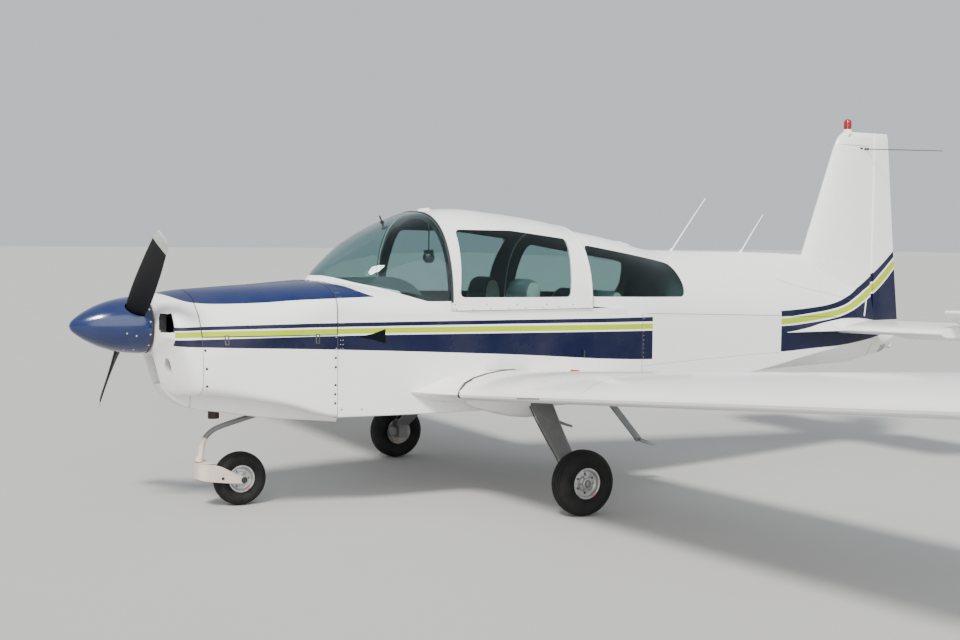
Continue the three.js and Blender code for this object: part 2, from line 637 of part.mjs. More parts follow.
// Cowl doors, hinged along the top, and the lower cowl between them and the chin.
const DOOR_FOOT_Z = 1078;
const DOOR_GAP = 6;
const doorReach = box([FIREWALL_X + DOOR_GAP, BOWL_SEAM_X - DOOR_GAP], [DOOR_GAP, 900], [DOOR_FOOT_Z + DOOR_GAP, 2000]);
const mainSkin = cowlSkin.intersect(slab(1700, BOWL_SEAM_X - GAP));
placePair("cowl_door", mainSkin.intersect(doorReach), "blue");
const strutSlot = box([1960, 2330], [-36, 36], [400, 700]);
const EXHAUST = { x: 2430, y: -150, radius: 35, bottom: 527, top: 880 };
const exhaustRod = (radius, z0, z1) => rod([EXHAUST.x, EXHAUST.y, z0], [EXHAUST.x, EXHAUST.y, z1], radius, 16);
const lowerCowl = mainSkin
  .intersect(slab(1700, 3000, [0, DOOR_FOOT_Z]))
  .subtract(strutSlot)
  .subtract(exhaustRod(EXHAUST.radius + 12, 450, 700));
place("lower_cowl", lowerCowl, "white");

// Engine: one plain block on four mount tubes, and the exhaust pipe below it.
const ENGINE_FACE = [[300, 880], [378, 950], [378, 1100], [290, 1175]];
const engineOutline = [...ENGINE_FACE, ...ENGINE_FACE.map(([y, z]) => [-y, z]).reverse()];
let engine = frontPrism(engineOutline, 2120, 2765);
for (const side of [-1, 1]) {
  for (const [blockZ, wallZ] of [[930, 760], [1130, 1150]]) {
    engine = engine.add(rod([2140, side * 250, blockZ], [FIREWALL_X - 10, side * 330, wallZ], 14, 8));
  }
}
place("engine_block", engine.intersect(slab(FIREWALL_X + GAP, 3000)), "metal");
const pipe = exhaustRod(EXHAUST.radius, EXHAUST.bottom, EXHAUST.top - GAP);
place("exhaust_pipe", pipe.subtract(exhaustRod(EXHAUST.radius - 4, 500, 840)), "black");

// Propeller: two twisted blades on a hub, shaft stub behind.
const PROP = { x: 3005, radius: 853, lean: 51.5 };
const BLADE = [
  { radius: 45, chord: 70, thick: 56, pitch: 62 },
  { radius: 130, chord: 112, thick: 34, pitch: 47 },
  { radius: 250, chord: 146, thick: 22, pitch: 38 },
  { radius: 400, chord: 158, thick: 16, pitch: 31 },
  { radius: 580, chord: 154, thick: 12, pitch: 26 },
  { radius: 730, chord: 140, thick: 9, pitch: 22 },
  { radius: 820, chord: 124, thick: 7, pitch: 20 },
  { radius: 846, chord: 108, thick: 6, pitch: 19 },
  { radius: PROP.radius, chord: 84, thick: 5, pitch: 19 },
];
const BLADE_OUTLINE = [0, 0.08, 0.3, 0.6, 1];
const BLADE_AXIS = 0.45;
function bladeRing({ radius, chord, thick, pitch }) {
  const front = BLADE_OUTLINE.map((s) => [(BLADE_AXIS - s) * chord, thick * 2.2 * Math.sqrt(s) * (1 - s) + 1]);
  const back = BLADE_OUTLINE.slice(1, -1).map((s) => [(BLADE_AXIS - s) * chord, -2 - 0.1 * thick]);
  const turn = (pitch * Math.PI) / 180;
  const tail = [(BLADE_AXIS - 1) * chord, -1];
  const nose = [BLADE_AXIS * chord, -1];
  return [...front, tail, ...back.reverse(), nose].map(([along, out]) => [
    out * Math.cos(turn) + along * Math.sin(turn),
    out * Math.sin(turn) - along * Math.cos(turn),
    radius,
  ]);
}

const THRUST_AXIS = new THREE.Vector3(1, 0, 0);
function aboutThrust(solid, degrees) {
  const turn = new THREE.Quaternion().setFromAxisAngle(THRUST_AXIS, (-degrees * Math.PI) / 180);
  return turnedSolid(solid, turn, [0, 0, 0], [PROP.x, 0, THRUST_Z]);
}

const bladeUp = loft(BLADE.map(bladeRing));
const blades = [PROP.lean, 180 + PROP.lean].map((degrees) => aboutThrust(bladeUp, degrees));
const hub = rod([2945, 0, THRUST_Z], [3060, 0, THRUST_Z], 78, 20);
const shaft = rod([2772, 0, THRUST_Z], [2946, 0, THRUST_Z], 48, 16);
place("propeller", blades[0].add(blades[1]).add(hub).add(shaft), "black");

// Spinner: a spun cone on its back plate, notched for the blades.
const SPINNER_BACK_X = 2908;
// Columns: radius, distance ahead of the back plate.
const SPINNER = [
  [150, 0], [152, 40], [148, 110], [136, 190], [112, 275], [80, 350], [42, 410], [18, 438],
  [0, SPINNER_TIP_X - SPINNER_BACK_X],
];
const SPINNER_SKIN = 4;
const PLATE = { hole: 84, thick: 5 };
const spinnerInside = SPINNER.slice(0, -1).reverse().map(([radius, along]) => [radius - SPINNER_SKIN, along]);
const spinnerProfile = [
  [PLATE.hole, 0], ...SPINNER, [0, SPINNER[8][1] - PLATE.thick], ...spinnerInside.slice(0, -1),
  [SPINNER[0][0] - SPINNER_SKIN, PLATE.thick], [PLATE.hole, PLATE.thick], [PLATE.hole, 0],
];
const spinnerShell = turned(spinnerProfile, 24).rotateZ(-Math.PI / 2).translate(SPINNER_BACK_X, 0, THRUST_Z);
const NOTCH = 16;
const widened = ({ radius, chord, thick, pitch }) =>
  bladeRing({ radius, chord: chord + NOTCH, thick: thick + NOTCH, pitch });
const notch = loft(BLADE.slice(0, 3).map(widened));
let spinner = solidOf(spinnerShell);
for (const degrees of [PROP.lean, 180 + PROP.lean]) {
  spinner = spinner.subtract(aboutThrust(notch, degrees)).subtract(aboutThrust(bladeUp, degrees));
}
place("spinner", spinner, "blue");

// Wings
const WING = {
  leadX: 1200, chord: 1355, rootZ: 688, rootY: 520, dihedral: 5, incidence: 1.6, thick: 0.12, camber: 0.045,
};
const WING_RISE = Math.tan((WING.dihedral * Math.PI) / 180);
const wingLeadZ = (y) => WING.rootZ + (y - WING.rootY) * WING_RISE;
const WING_STATIONS = [0, 0.008, 0.03, 0.08, 0.16, 0.28, 0.42, 0.58, 0.755, 0.9, 1];
const CAMBER_PEAK = 0.4;

// Height of the wing's skin over its leading edge at a share s of the chord.
function wingSkin(s, upper, scale = 1) {
  const ahead = (s / CAMBER_PEAK ** 2) * (2 * CAMBER_PEAK - s);
  const behind = ((1 - s) / (1 - CAMBER_PEAK) ** 2) * (1 - 2 * CAMBER_PEAK + s);
  const camberHeight = s < CAMBER_PEAK ? ahead : behind;
  const spread = foilHalf(s, WING.thick) * (upper ? 1 : -1);
  const drop = s * Math.tan((WING.incidence * Math.PI) / 180);
  return WING.chord * ((camberHeight * WING.camber + spread) * scale - drop);
}

function wingRing(y, { lead = 0, scale = 1, chord = WING.chord, lift = 0, grow = 0 } = {}) {
  const point = (s, upper) => [
    WING.leadX + lead - s * chord,
    y,
    wingLeadZ(y) + lift + wingSkin(s, upper, scale) + (upper ? grow : -grow),
  ];
  const upper = WING_STATIONS.map((s) => point(s, true));
  const lower = WING_STATIONS.slice(1).map((s) => point(s, false)).reverse();
  return [...upper, ...lower];
}

const TIP_JOIN_Y = 4640;
const WING_ROOT_Y = 480;
const wingBlade = loft([wingRing(WING_ROOT_Y), wingRing(TIP_JOIN_Y)]);
const CONTROL_HINGE_S = 0.755;
const HINGE_X = WING.leadX - CONTROL_HINGE_S * WING.chord;
const [hingeTop, hingeBottom] = [true, false].map((upper) => wingSkin(CONTROL_HINGE_S, upper));
const hingeZ = (y) => wingLeadZ(y) + (hingeTop + hingeBottom) / 2;
const NOSE_RADIUS = (hingeTop - hingeBottom) / 2;
// Inner end y, outer end y.
const FLAP_SPAN = [585, 2480];
const AILERON_SPAN = [2500, 4560];

function controlSurface([y0, y1]) {
  const [inner, outer] = [y0 - 20, y1 + 20];
  const barrel = rod([HINGE_X, inner, hingeZ(inner)], [HINGE_X, outer, hingeZ(outer)], NOSE_RADIUS, 20);
  const aft = box([-400, HINGE_X], [inner, outer], [0, 2000]);
  return wingBlade.intersect(aft.add(barrel)).intersect(box([-400, 2000], [y0, y1], [0, 2000]));
}

const COVE_X = HINGE_X + NOSE_RADIUS + RUNNING_GAP;
const coveBox = ([y0, y1]) => box([-400, COVE_X], [y0 - RUNNING_GAP, y1 + RUNNING_GAP], [0, 2000]);
const TIE_DOWN = { x: 820, y: 2900, halfX: 30, halfY: 12, drop: 12, share: 0.28 };
const tieDownZ = wingLeadZ(TIE_DOWN.y) + wingSkin(TIE_DOWN.share, false);
const tieDownBlock = box(
  [TIE_DOWN.x - TIE_DOWN.halfX, TIE_DOWN.x + TIE_DOWN.halfX],
  [TIE_DOWN.y - TIE_DOWN.halfY, TIE_DOWN.y + TIE_DOWN.halfY],
  [tieDownZ - TIE_DOWN.drop, tieDownZ + 20],
);
const wing = wingBlade
  .subtract(bodyFit)
  .subtract(coveBox(FLAP_SPAN))
  .subtract(coveBox(AILERON_SPAN))
  .add(tieDownBlock);
placePair("wing", wing, "white");
placePair("aileron", controlSurface(AILERON_SPAN), "white");
placePair("flap", controlSurface(FLAP_SPAN), "white");

// Wing tip: a moulded cap that draws in over its last stretch.
const TIP = [
  { y: TIP_JOIN_Y + GAP, share: 1, scale: 1 },
  { y: 4720, share: 0.98, scale: 0.86 },
  { y: 4770, share: 0.94, scale: 0.62 },
  { y: HALF_SPAN, share: 0.88, scale: 0.28 },
];
const tipRing = ({ y, share, scale }) =>
  wingRing(y, { lead: -(1 - share) * 600, chord: WING.chord * share, scale, lift: (1 - scale) * 18 });
placePair("wing_tip", loft(TIP.map(tipRing)), "white");

// Root glove: the leading edge swept forward where the wing meets the cabin side.
const GLOVE = [
  { y: 480, ahead: 240, scale: 1.12 },
  { y: 560, ahead: 196, scale: 1.08 },
  { y: 640, ahead: 120, scale: 1.04 },
  { y: 720, ahead: 48, scale: 1.01 },
  { y: 795, ahead: 4, scale: 1 },
];
const GLOVE_STATIONS = [0, 0.02, 0.06, 0.14, 0.3, 0.55, 0.8, 1];
const GLOVE_RUN = 520;
const GLOVE_SKIN = 1.5;
function gloveRing({ y, ahead, scale }, grow) {
  const point = (s, upper) => {
    const x = WING.leadX + ahead - s * (ahead + GLOVE_RUN);
    const share = Math.max((WING.leadX - x) / WING.chord, s * 0.36);
    const rounding = Math.sqrt(Math.min(s * 3.2, 1));
    const skin = wingSkin(share, upper, scale) * rounding + (1 - rounding) * ahead * 0.12;
    return [x, y, wingLeadZ(y) + skin + (GLOVE_SKIN + grow) * (upper ? 1 : -1)];
  };
  const upper = GLOVE_STATIONS.map((s) => point(s, true));
  const lower = GLOVE_STATIONS.slice(1).map((s) => point(s, false)).reverse();
  return [...upper, ...lower];
}

const gloveLoft = (grow) => loft(GLOVE.map((row) => gloveRing(row, grow)));
const wingFitRing = (y) => wingRing(y, { lead: 1, grow: GAP, chord: WING.chord + 2 });
const wingFit = loft([wingFitRing(380), wingFitRing(900)]);
placePair("root_glove", gloveLoft(0).subtract(bodyFit).subtract(wingFit), "white");

// Tailplane and the two elevator halves
const TAIL = { leadX: -2530, chord: 800, leadZ: 981, rise: Math.tan((1.8 * Math.PI) / 180), thick: 0.105, tipY: 1205 };
const TAIL_SLOPE = 51;
const ELEVATOR_TIP_Y = 1345;
const ELEVATOR_ROOT_Y = 150;
const ELEVATOR_DROOP = 22;
const tailLeadZ = (y) => TAIL.leadZ + (y - ELEVATOR_HINGE.y) * TAIL.rise;
function tailRing(y) {
  const point = (s, side) => {
    const skin = side * TAIL.chord * foilHalf(s, TAIL.thick);
    return [TAIL.leadX - s * TAIL.chord, y, tailLeadZ(y) + s * TAIL_SLOPE + skin];
  };
  const upper = FOIL_SIDE.map((s) => point(s, 1));
  const lower = FOIL_SIDE.slice(1).map((s) => point(s, -1)).reverse();
  return [...upper, ...lower];
}

const tailBlade = loft([tailRing(60), tailRing(ELEVATOR_TIP_Y)]);
const bodyAtTail = bodyLoft([-1800, -2250, -2550, -2800, TAIL_POST_X - 60], -GAP);
// Strake ahead of the tailplane's root.
const STRAKE = [
  { x: -1975, y: 258, half: 2 },
  { x: -2150, y: 262, half: 14 },
  { x: -2350, y: 264, half: 27 },
  { x: -2545, y: 266, half: 36 },
];
const strakeRing = ({ x, y, half }) => [
  [x, 80, TAIL.leadZ + half],
  [x, y - 12, TAIL.leadZ + half * 0.8],
  [x, y, TAIL.leadZ],
  [x, y - 12, TAIL.leadZ - half * 0.8],
  [x, 80, TAIL.leadZ - half],
];
const ELEVATOR_BARREL = 36;
const TAILPLANE_BACK_X = ELEVATOR_HINGE.x + ELEVATOR_BARREL + RUNNING_GAP;
const tailplane = tailBlade
  .intersect(box([TAILPLANE_BACK_X, -2000], [60, TAIL.tipY], [0, 2000]))
  .add(loft(STRAKE.map(strakeRing)))
  .subtract(bodyAtTail);
placePair("tailplane", tailplane, "white");

const elevatorHingeZ = (y) => ELEVATOR_HINGE.z + (y - ELEVATOR_HINGE.y) * TAIL.rise;
const elevatorRod = (y0, y1, radius, segments) =>
  rod([ELEVATOR_HINGE.x, y0, elevatorHingeZ(y0)], [ELEVATOR_HINGE.x, y1, elevatorHingeZ(y1)], radius, segments);
const ELEVATOR_TUBE = 20;
const TUBE_END_Y = 3;
const aftOfHinge = box([-3400, ELEVATOR_HINGE.x], [ELEVATOR_ROOT_Y, ELEVATOR_TIP_Y], [0, 2000]);
const elevatorHorn = box([-3400, -2400], [TAIL.tipY + 10, ELEVATOR_TIP_Y], [0, 2000]);
const elevatorNose = elevatorRod(100, 1400, ELEVATOR_BARREL, 16).intersect(
  box([-3400, -2400], [ELEVATOR_ROOT_Y, ELEVATOR_TIP_Y], [0, 2000]),
);
const elevatorLevel = tailBlade.intersect(aftOfHinge.add(elevatorHorn).add(elevatorNose));
const elevatorAxis = new THREE.Vector3(0, 1, TAIL.rise).normalize();
const droop = new THREE.Quaternion().setFromAxisAngle(elevatorAxis, (-ELEVATOR_DROOP * Math.PI) / 180);
const elevator = turnedSolid(elevatorLevel, droop, [ELEVATOR_HINGE.x, ELEVATOR_HINGE.y, ELEVATOR_HINGE.z])
  .add(elevatorRod(TUBE_END_Y, ELEVATOR_ROOT_Y + 10, ELEVATOR_TUBE, 14));
placePair("elevator", elevator, "white");

// Nose gear: curved strut, castering fork, wheel
const CASTER_X = 2575;
const NOSE_AXLE = { x: 2315, z: 166 };
const STRUT_PATH = [
  [2565, 0, 288], [2553, 0, 380], [2530, 0, 440], [2450, 0, 490], [2250, 0, 543], [2050, 0, 595],
  [FIREWALL_X + 2, 0, 640],
];
const strut = bentRod(STRUT_PATH, 16, 14)
  .add(box([FIREWALL_X + GAP, FIREWALL_X + 18], [-70, 70], [590, 690]))
  .subtract(slab(1700, FIREWALL_X + GAP, [300, 900]))
  .add(rod([CASTER_X, 0, 284], [CASTER_X - 3, 0, 316], 26, 16, 20))
  .add(rod([CASTER_X, 0, 172], [CASTER_X, 0, 290], 12, 14));
place("nose_strut", strut, "grey");

const FORK_SIDE = [
  [2609, 168], [2609, 279], [2541, 279], [2515, 240], [2400, 196], [2300, 190], [2288, 150], [2400, 146],
  [2525, 150],
];
const FORK_HALF = 88;
const forkNarrow = box([CASTER_X - 20, CASTER_X + 60], [40, FORK_HALF], [0, 400]);
const fork = sidePrism(FORK_SIDE, -FORK_HALF, FORK_HALF)
  .subtract(box([2200, CASTER_X - 62], [-70, 70], [0, 400]))
  .subtract(forkNarrow)
  .subtract(mirrored(forkNarrow))
  .subtract(rod([CASTER_X, 0, 100], [CASTER_X, 0, 400], 13, 16))
  .add(rod([NOSE_AXLE.x, -82, NOSE_AXLE.z], [NOSE_AXLE.x, 82, NOSE_AXLE.z], 11, 12));
place("nose_fork", fork, "cream");

// A tyre section, turned about the axle. Columns: share of the section's height, of its width.
const TYRE_SECTION = [[0, 0.34], [0.1, 0.4], [0.35, 0.49], [0.6, 0.5], [0.82, 0.43], [0.95, 0.3], [1, 0.14]];
function tyreSolid({ outer, rim, width }) {
  const half = TYRE_SECTION.map(([rise, side]) => [rim + rise * (outer - rim), side * width]);
  const other = half.map(([radius, side]) => [radius, -side]).reverse();
  return solidOf(turned([...half, ...other, half[0]], 32));
}

// A wheel hub with a dished face and a plain bore.
function hubSolid({ rim, width, bore }) {
  const half = [
    [bore, 0.4 * width], [bore + 20, 0.4 * width], [bore + 26, 0.3 * width], [rim - 20, 0.2 * width],
    [rim - 12, 0.36 * width], [rim - GAP, 0.36 * width],
  ];
  const other = half.map(([radius, side]) => [radius, -side]).reverse();
  return solidOf(turned([...half, ...other, half[0]], 32));
}

function placeWheel(name, centre, size) {
  const wheel = new THREE.Group();
  wheel.position.set(...centre);
  aircraft.add(wheel);
  place(`${name}_tyre`, tyreSolid(size), "tyre", wheel);
  place(`${name}_hub`, hubSolid(size), "metal", wheel);
}

placeWheel("nose", [NOSE_AXLE.x, 0, NOSE_AXLE.z], { outer: 166, rim: 86, width: 124, bore: 13 });

// Main gear: laminated legs, fairings at their roots, wheels
const MAIN_AXLE = { x: 600, y: 1260, z: 200 };
const MAIN_WHEEL = { outer: 200, rim: 96, width: 150, bore: 18 };
const LEG = [
  { x: 545, y: 640, z: 688, wide: 160, thick: 32 },
  { x: 556, y: 749, z: 585, wide: 160, thick: 32 },
  { x: 575, y: 889, z: 461, wide: 148, thick: 30 },
  { x: 590, y: 1042, z: 341, wide: 124, thick: 28 },
  { x: 597, y: 1150, z: 258, wide: 104, thick: 27 },
];
const LEG_TILT = 0.7;
function legRing({ x, y, z, wide, thick }, grow = 0) {
  const corner = (along, up) => [x + along, y + up * Math.sin(LEG_TILT), z + up * Math.cos(LEG_TILT)];
  const [w, t] = [wide / 2 + grow, thick / 2 + grow];
  return [
    corner(w, t * 0.5), corner(w * 0.8, t), corner(-w * 0.8, t), corner(-w, t * 0.5),
    corner(-w, -t * 0.5), corner(-w * 0.8, -t), corner(w * 0.8, -t), corner(w, -t * 0.5),
  ];
}

const axlePad = box([MAIN_AXLE.x - 34, MAIN_AXLE.x + 34], [1130, 1168], [162, 262]);
const axlePin = rod([MAIN_AXLE.x, 1160, MAIN_AXLE.z], [MAIN_AXLE.x, 1326, MAIN_AXLE.z], 16, 14);
const leg = loft(LEG.map((row) => legRing(row)))
  .intersect(box([0, 1200], [500, 1168], [0, 900]))
  .subtract(wingFit)
  .add(axlePad)
  .add(axlePin);
placePair("main_leg", leg, "grey");
for (const [side, name] of [[1, "port"], [-1, "starboard"]]) {
  placeWheel(`main_${name}`, [MAIN_AXLE.x, side * MAIN_AXLE.y, MAIN_AXLE.z], MAIN_WHEEL);
}

// Gear fairing: a pod under the wing's root that the leg comes out of.
const GEAR_FAIRING = [
  { x: 1045, half: 12, bottom: 632 },
  { x: 990, half: 48, bottom: 604 },
  { x: 864, half: 84, bottom: 566 },
  { x: 697, half: 104, bottom: 531 },
  { x: 590, half: 108, bottom: 523 },
  { x: 520, half: 100, bottom: 527 },
];
const FAIRING_Y = 618;
const FAIRING_TOP_Z = 720;
const fairingSection = ({ x, half, bottom }) => {
  const arc = Array.from({ length: 9 }, (_, i) => {
    const angle = Math.PI + (i / 8) * Math.PI;
    return [x, FAIRING_Y + half * Math.cos(angle), 640 + (640 - bottom) * Math.sin(angle)];
  });
  return [[x, FAIRING_Y - half, FAIRING_TOP_Z], ...arc, [x, FAIRING_Y + half, FAIRING_TOP_Z]];
};
const legFit = loft(LEG.map((row) => legRing(row, 4)));
const gearFairing = loft(GEAR_FAIRING.map(fairingSection))
  .subtract(bodyFit)
  .subtract(wingFit)
  .subtract(gloveLoft(1))
  .subtract(legFit)
  .intersect(slab(400, 1100, [0, 690]));
placePair("gear_fairing", gearFairing, "white");

// Cabin furniture: two front seats, a rear bench, the instrument panel with its control wheels
function seatProfile({ backX, frontX, topZ }) {
  return [
    [frontX, FLOOR_TOP_Z + GAP], [frontX, 850], [frontX - 60, 890], [backX + 110, 870],
    [backX + 30, topZ - 40], [backX - 10, topZ], [backX - 60, topZ - 10], [backX - 40, 1000],
    [backX, FLOOR_TOP_Z + GAP],
  ];
}

placePair("front_seat", sidePrism(seatProfile({ backX: 380, frontX: 930, topZ: 1435 }), 45, 485), "seat");
place("rear_seat", sidePrism(seatProfile({ backX: -270, frontX: 180, topZ: 1330 }), -445, 445), "seat");

const PANEL = { x: 1300, thick: 24, wheelX: 1110, wheelY: 265, wheelZ: 1110 };
const PANEL_FACE = [[500, 960], [512, 1180], [450, 1320]];
const panelOutline = [...PANEL_FACE, ...PANEL_FACE.map(([y, z]) => [-y, z]).reverse()];
let panel = frontPrism(panelOutline, PANEL.x, PANEL.x + PANEL.thick)
  .add(box([PANEL.x + 5, PANEL.x + 20], [-519, 519], [1100, 1180]));
for (const side of [-1, 1]) {
  const y = side * PANEL.wheelY;
  const wheelRing = new THREE.TorusGeometry(120, 12, 6, 16).rotateY(Math.PI / 2);
  panel = panel
    .add(rod([PANEL.wheelX - 6, y, PANEL.wheelZ], [PANEL.x + 4, y, PANEL.wheelZ], 14, 10))
    .add(solidOf(wheelRing.translate(PANEL.wheelX, y, PANEL.wheelZ)))
    .add(rod([PANEL.wheelX, y - 118, PANEL.wheelZ], [PANEL.wheelX, y + 118, PANEL.wheelZ], 12, 8));
}
place("instrument_panel", panel, "black");

// Antennas
const WHIPS = [
  { name: "whip_front", rootX: -1018, tip: [-1330, 0, 1979] },
  { name: "whip_rear", rootX: -1679, tip: [-1894, 0, 1867] },
];
const spine = bodyLoft([-820, -1200, -1600, -1950, -2250], -GAP);
for (const { name, rootX, tip } of WHIPS) {
  const rootZ = bodyAt(rootX).crown;
  const mast = rod([rootX, 0, rootZ - 8], tip, 4, 8, 2.5);
  const foot = rod([rootX, 0, rootZ - 12], [rootX - 6, 0, rootZ + 14], 16, 12, 9);
  place(name, mast.add(foot).subtract(spine), "white");
}

let navAntenna = navRod(NAV_ROD.half, NAV_ROD.radius);
for (const side of [-1, 1]) {
  const root = [NAV_ROD.x, side * 34, NAV_ROD.z];
  navAntenna = navAntenna.add(rod(root, [-3330, side * 450, 2388], 4, 8, 3));
}
place("nav_antenna", navAntenna, "black");

// Steps: a flat strut with a sloping pad below the cabin side, behind the wing.
const STEP_STRUT = [[-64, 611], [-359, 286], [-391, 314], [-96, 639]];
const STEP_PAD = [[-362, 312], [-362, 294], [-488, 254], [-488, 270]];
const step = sidePrism(STEP_STRUT, 503, 517).add(sidePrism(STEP_PAD, 472, 548)).subtract(bodyFit);
placePair("step", step, "grey");

export default aircraft;
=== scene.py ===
# A four-seat low-wing light aeroplane with a sliding canopy, parked, in white with navy and lime stripes.
# Shapes are worked out in millimetres, as on the drawings, and turned to metres when a mesh is made.
import math
import bpy
import bmesh
from mathutils import Matrix, Quaternion, Vector
from mathutils.bvhtree import BVHTree


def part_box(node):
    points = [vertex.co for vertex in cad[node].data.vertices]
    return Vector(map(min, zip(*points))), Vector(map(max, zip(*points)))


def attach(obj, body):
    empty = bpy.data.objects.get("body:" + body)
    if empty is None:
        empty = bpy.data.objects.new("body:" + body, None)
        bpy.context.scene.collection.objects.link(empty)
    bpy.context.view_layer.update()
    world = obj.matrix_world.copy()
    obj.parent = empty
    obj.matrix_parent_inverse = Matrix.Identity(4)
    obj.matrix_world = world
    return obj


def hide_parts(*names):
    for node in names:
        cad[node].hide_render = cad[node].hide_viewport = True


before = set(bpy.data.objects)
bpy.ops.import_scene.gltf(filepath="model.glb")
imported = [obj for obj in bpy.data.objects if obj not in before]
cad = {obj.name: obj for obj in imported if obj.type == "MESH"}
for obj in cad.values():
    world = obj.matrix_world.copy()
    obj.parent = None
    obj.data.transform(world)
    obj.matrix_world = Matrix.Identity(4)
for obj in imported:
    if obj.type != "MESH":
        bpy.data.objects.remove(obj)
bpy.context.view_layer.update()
MM = 0.001


# Camera
# The photo's viewpoint, from ahead of the port wing at head height.
CAMERA_PLACE = (5.346, 8.201, 1.684)
CAMERA_YAW = math.radians(30.07)
CAMERA_PITCH = math.radians(-3.45)
CAMERA_ROLL = math.radians(0.59)
LENS_PIXELS = 1397.7
PHOTO_WIDTH = 960
PHOTO_MIDDLE = (480, 320)
SENSOR = 36
level = math.cos(CAMERA_PITCH)
view = Vector((-math.sin(CAMERA_YAW) * level, -math.cos(CAMERA_YAW) * level, math.sin(CAMERA_PITCH)))
right = view.cross(Vector((0, 0, 1))).normalized()
up = right.cross(view)
turned_right = math.cos(CAMERA_ROLL) * right + math.sin(CAMERA_ROLL) * up
turned_up = -math.sin(CAMERA_ROLL) * right + math.cos(CAMERA_ROLL) * up
camera_data = bpy.data.cameras.new("camera")
camera_data.sensor_width = SENSOR
camera_data.lens = LENS_PIXELS * SENSOR / PHOTO_WIDTH
camera = bpy.data.objects.new("camera", camera_data)
bpy.context.collection.objects.link(camera)
facing = Matrix((turned_right, turned_up, -view)).transposed()
camera.matrix_world = Matrix.Translation(CAMERA_PLACE) @ facing.to_4x4()
bpy.context.scene.camera = camera


# Fuselage skins
# Bonded aluminium sheet, painted gloss white, in four lengths: the cabin tub, the forward deck ahead of
# the glass, the rear cabin roof and the tail cone, joined along one seam line under the windows.

# Value of one column at station x, on a smooth curve that never overshoots its rows.
def at(rows, column, x):
    keys = [row[0] for row in rows]
    values = [row[column] for row in rows]
    last = len(keys) - 1
    rising = keys[last] > keys[0]
    i = 0
    while i < last - 1 and (x > keys[i + 1] if rising else x < keys[i + 1]):
        i += 1

    def slope(k):
        return (values[k + 1] - values[k]) / (keys[k + 1] - keys[k])

    def tangent(k):
        if k == 0:
            return slope(0)
        if k == last:
            return slope(last - 1)
        before, after = slope(k - 1), slope(k)
        return 0 if before * after <= 0 else 2 * before * after / (before + after)

    step = keys[i + 1] - keys[i]
    t = min(max((x - keys[i]) / step, 0), 1)
    ahead = (2 * t**3 - 3 * t**2 + 1) * values[i] + (3 * t**2 - 2 * t**3) * values[i + 1]
    return ahead + (t**3 - 2 * t**2 + t) * step * tangent(i) + (t**3 - t**2) * step * tangent(i + 1)


# A table of stations, read at any station as a dictionary of its named columns.
def stations_of(columns, rows):
    return lambda x: {name: at(rows, i + 1, x) for i, name in enumerate(columns)}


# Evenly spaced numbers from a to b.
def spread(a, b, count):
    return [a + (b - a) * i / (count - 1) for i in range(count)]


# Directions (cosine, sine) evenly round a circle, from a first angle in radians.
def around(count, first=0.0):
    angles = [first + 2 * math.pi * i / count for i in range(count)]
    return [(math.cos(a), math.sin(a)) for a in angles]


# Faces between neighbouring rings of points, each ring closed on itself.
def ring_faces(rings, count):
    faces = []
    for start in range(0, (rings - 1) * count, count):
        for i in range(count):
            a, b = start + i, start + (i + 1) % count
            faces.append((a, b, b + count, a + count))
    return faces


# Quarter of a rounded outline, from the side (t = 0) to the middle (t = 1).
def quarter(half, rise, power, t):
    angle = t * math.pi / 2
    return half * math.cos(angle) ** (2 / power), rise * math.sin(angle) ** (2 / power)


# A closed ring at station x from port side points (y, z) that end in the plane of symmetry.
def mirrored_ring(x, side, flat_foot=False):
    port = [(x, y, z) for y, z in side]
    starboard = [(x, -y, z) for y, z in side[0 if flat_foot else 1:-1]]
    return port + starboard[::-1]


# A mesh object from points in millimetres, its faces smooth up to an angle.
def piece(name, points, faces, smooth=32):
    mesh = bpy.data.meshes.new(name)
    mesh.from_pydata([Vector(point) * MM for point in points], [], faces)
    made = bpy.data.objects.new(name, mesh)
    bpy.context.collection.objects.link(made)
    tidy(made, smooth)
    return made


# Outward faces, welded corners where asked, and sharp edges only past the given angle.
def tidy(made, smooth, weld=True):
    work = bmesh.new()
    work.from_mesh(made.data)
    if weld:
        bmesh.ops.remove_doubles(work, verts=work.verts, dist=0.00001)
        bmesh.ops.dissolve_degenerate(work, edges=work.edges, dist=0.00001)
        bmesh.ops.recalc_face_normals(work, faces=work.faces)
    for face in work.faces:
        face.smooth = True
    for edge in work.edges:
        edge.smooth = len(edge.link_faces) != 2 or edge.calc_face_angle(0) < math.radians(smooth)
    work.to_mesh(made.data)
    work.free()


# A closed body lofted through rings, its ends fanned from their middles.
def loft(name, rings, smooth=32):
    count = len(rings[0])
    points = [point for ring in rings for point in ring]
    faces = ring_faces(len(rings), count)
    for ring in (0, len(rings) - 1):
        middle = sum((Vector(point) for point in rings[ring]), Vector()) / count
        points.append(tuple(middle))
        for i in range(count):
            faces.append((ring * count + i, ring * count + (i + 1) % count, len(points) - 1))
    return piece(name, points, faces, smooth)


# An outline of (x, z) points, extruded across from y0 to y1.
def side_prism(points, y0, y1, name="prism"):
    count = len(points)
    faces = [tuple(range(count)), tuple(range(count, 2 * count))] + ring_faces(2, count)
    return piece(name, [(x, y, z) for y in (y0, y1) for x, z in points], faces)


def block(x, y, z, name="block"):
    return side_prism([(x[0], z[0]), (x[1], z[0]), (x[1], z[1]), (x[0], z[1])], y[0], y[1], name)


# One solid cut by, joined to or limited to another, which is used up.
def combine(target, tool, operation, smooth=32):
    step = target.modifiers.new("combine", "BOOLEAN")
    step.operation = operation
    step.solver = "MANIFOLD"
    step.object = tool
    bpy.context.view_layer.update()
    made = bpy.data.meshes.new_from_object(target.evaluated_get(bpy.context.evaluated_depsgraph_get()))
    target.modifiers.clear()
    target.data = made
    bpy.data.objects.remove(tool)
    tidy(target, smooth, weld=False)
    return target


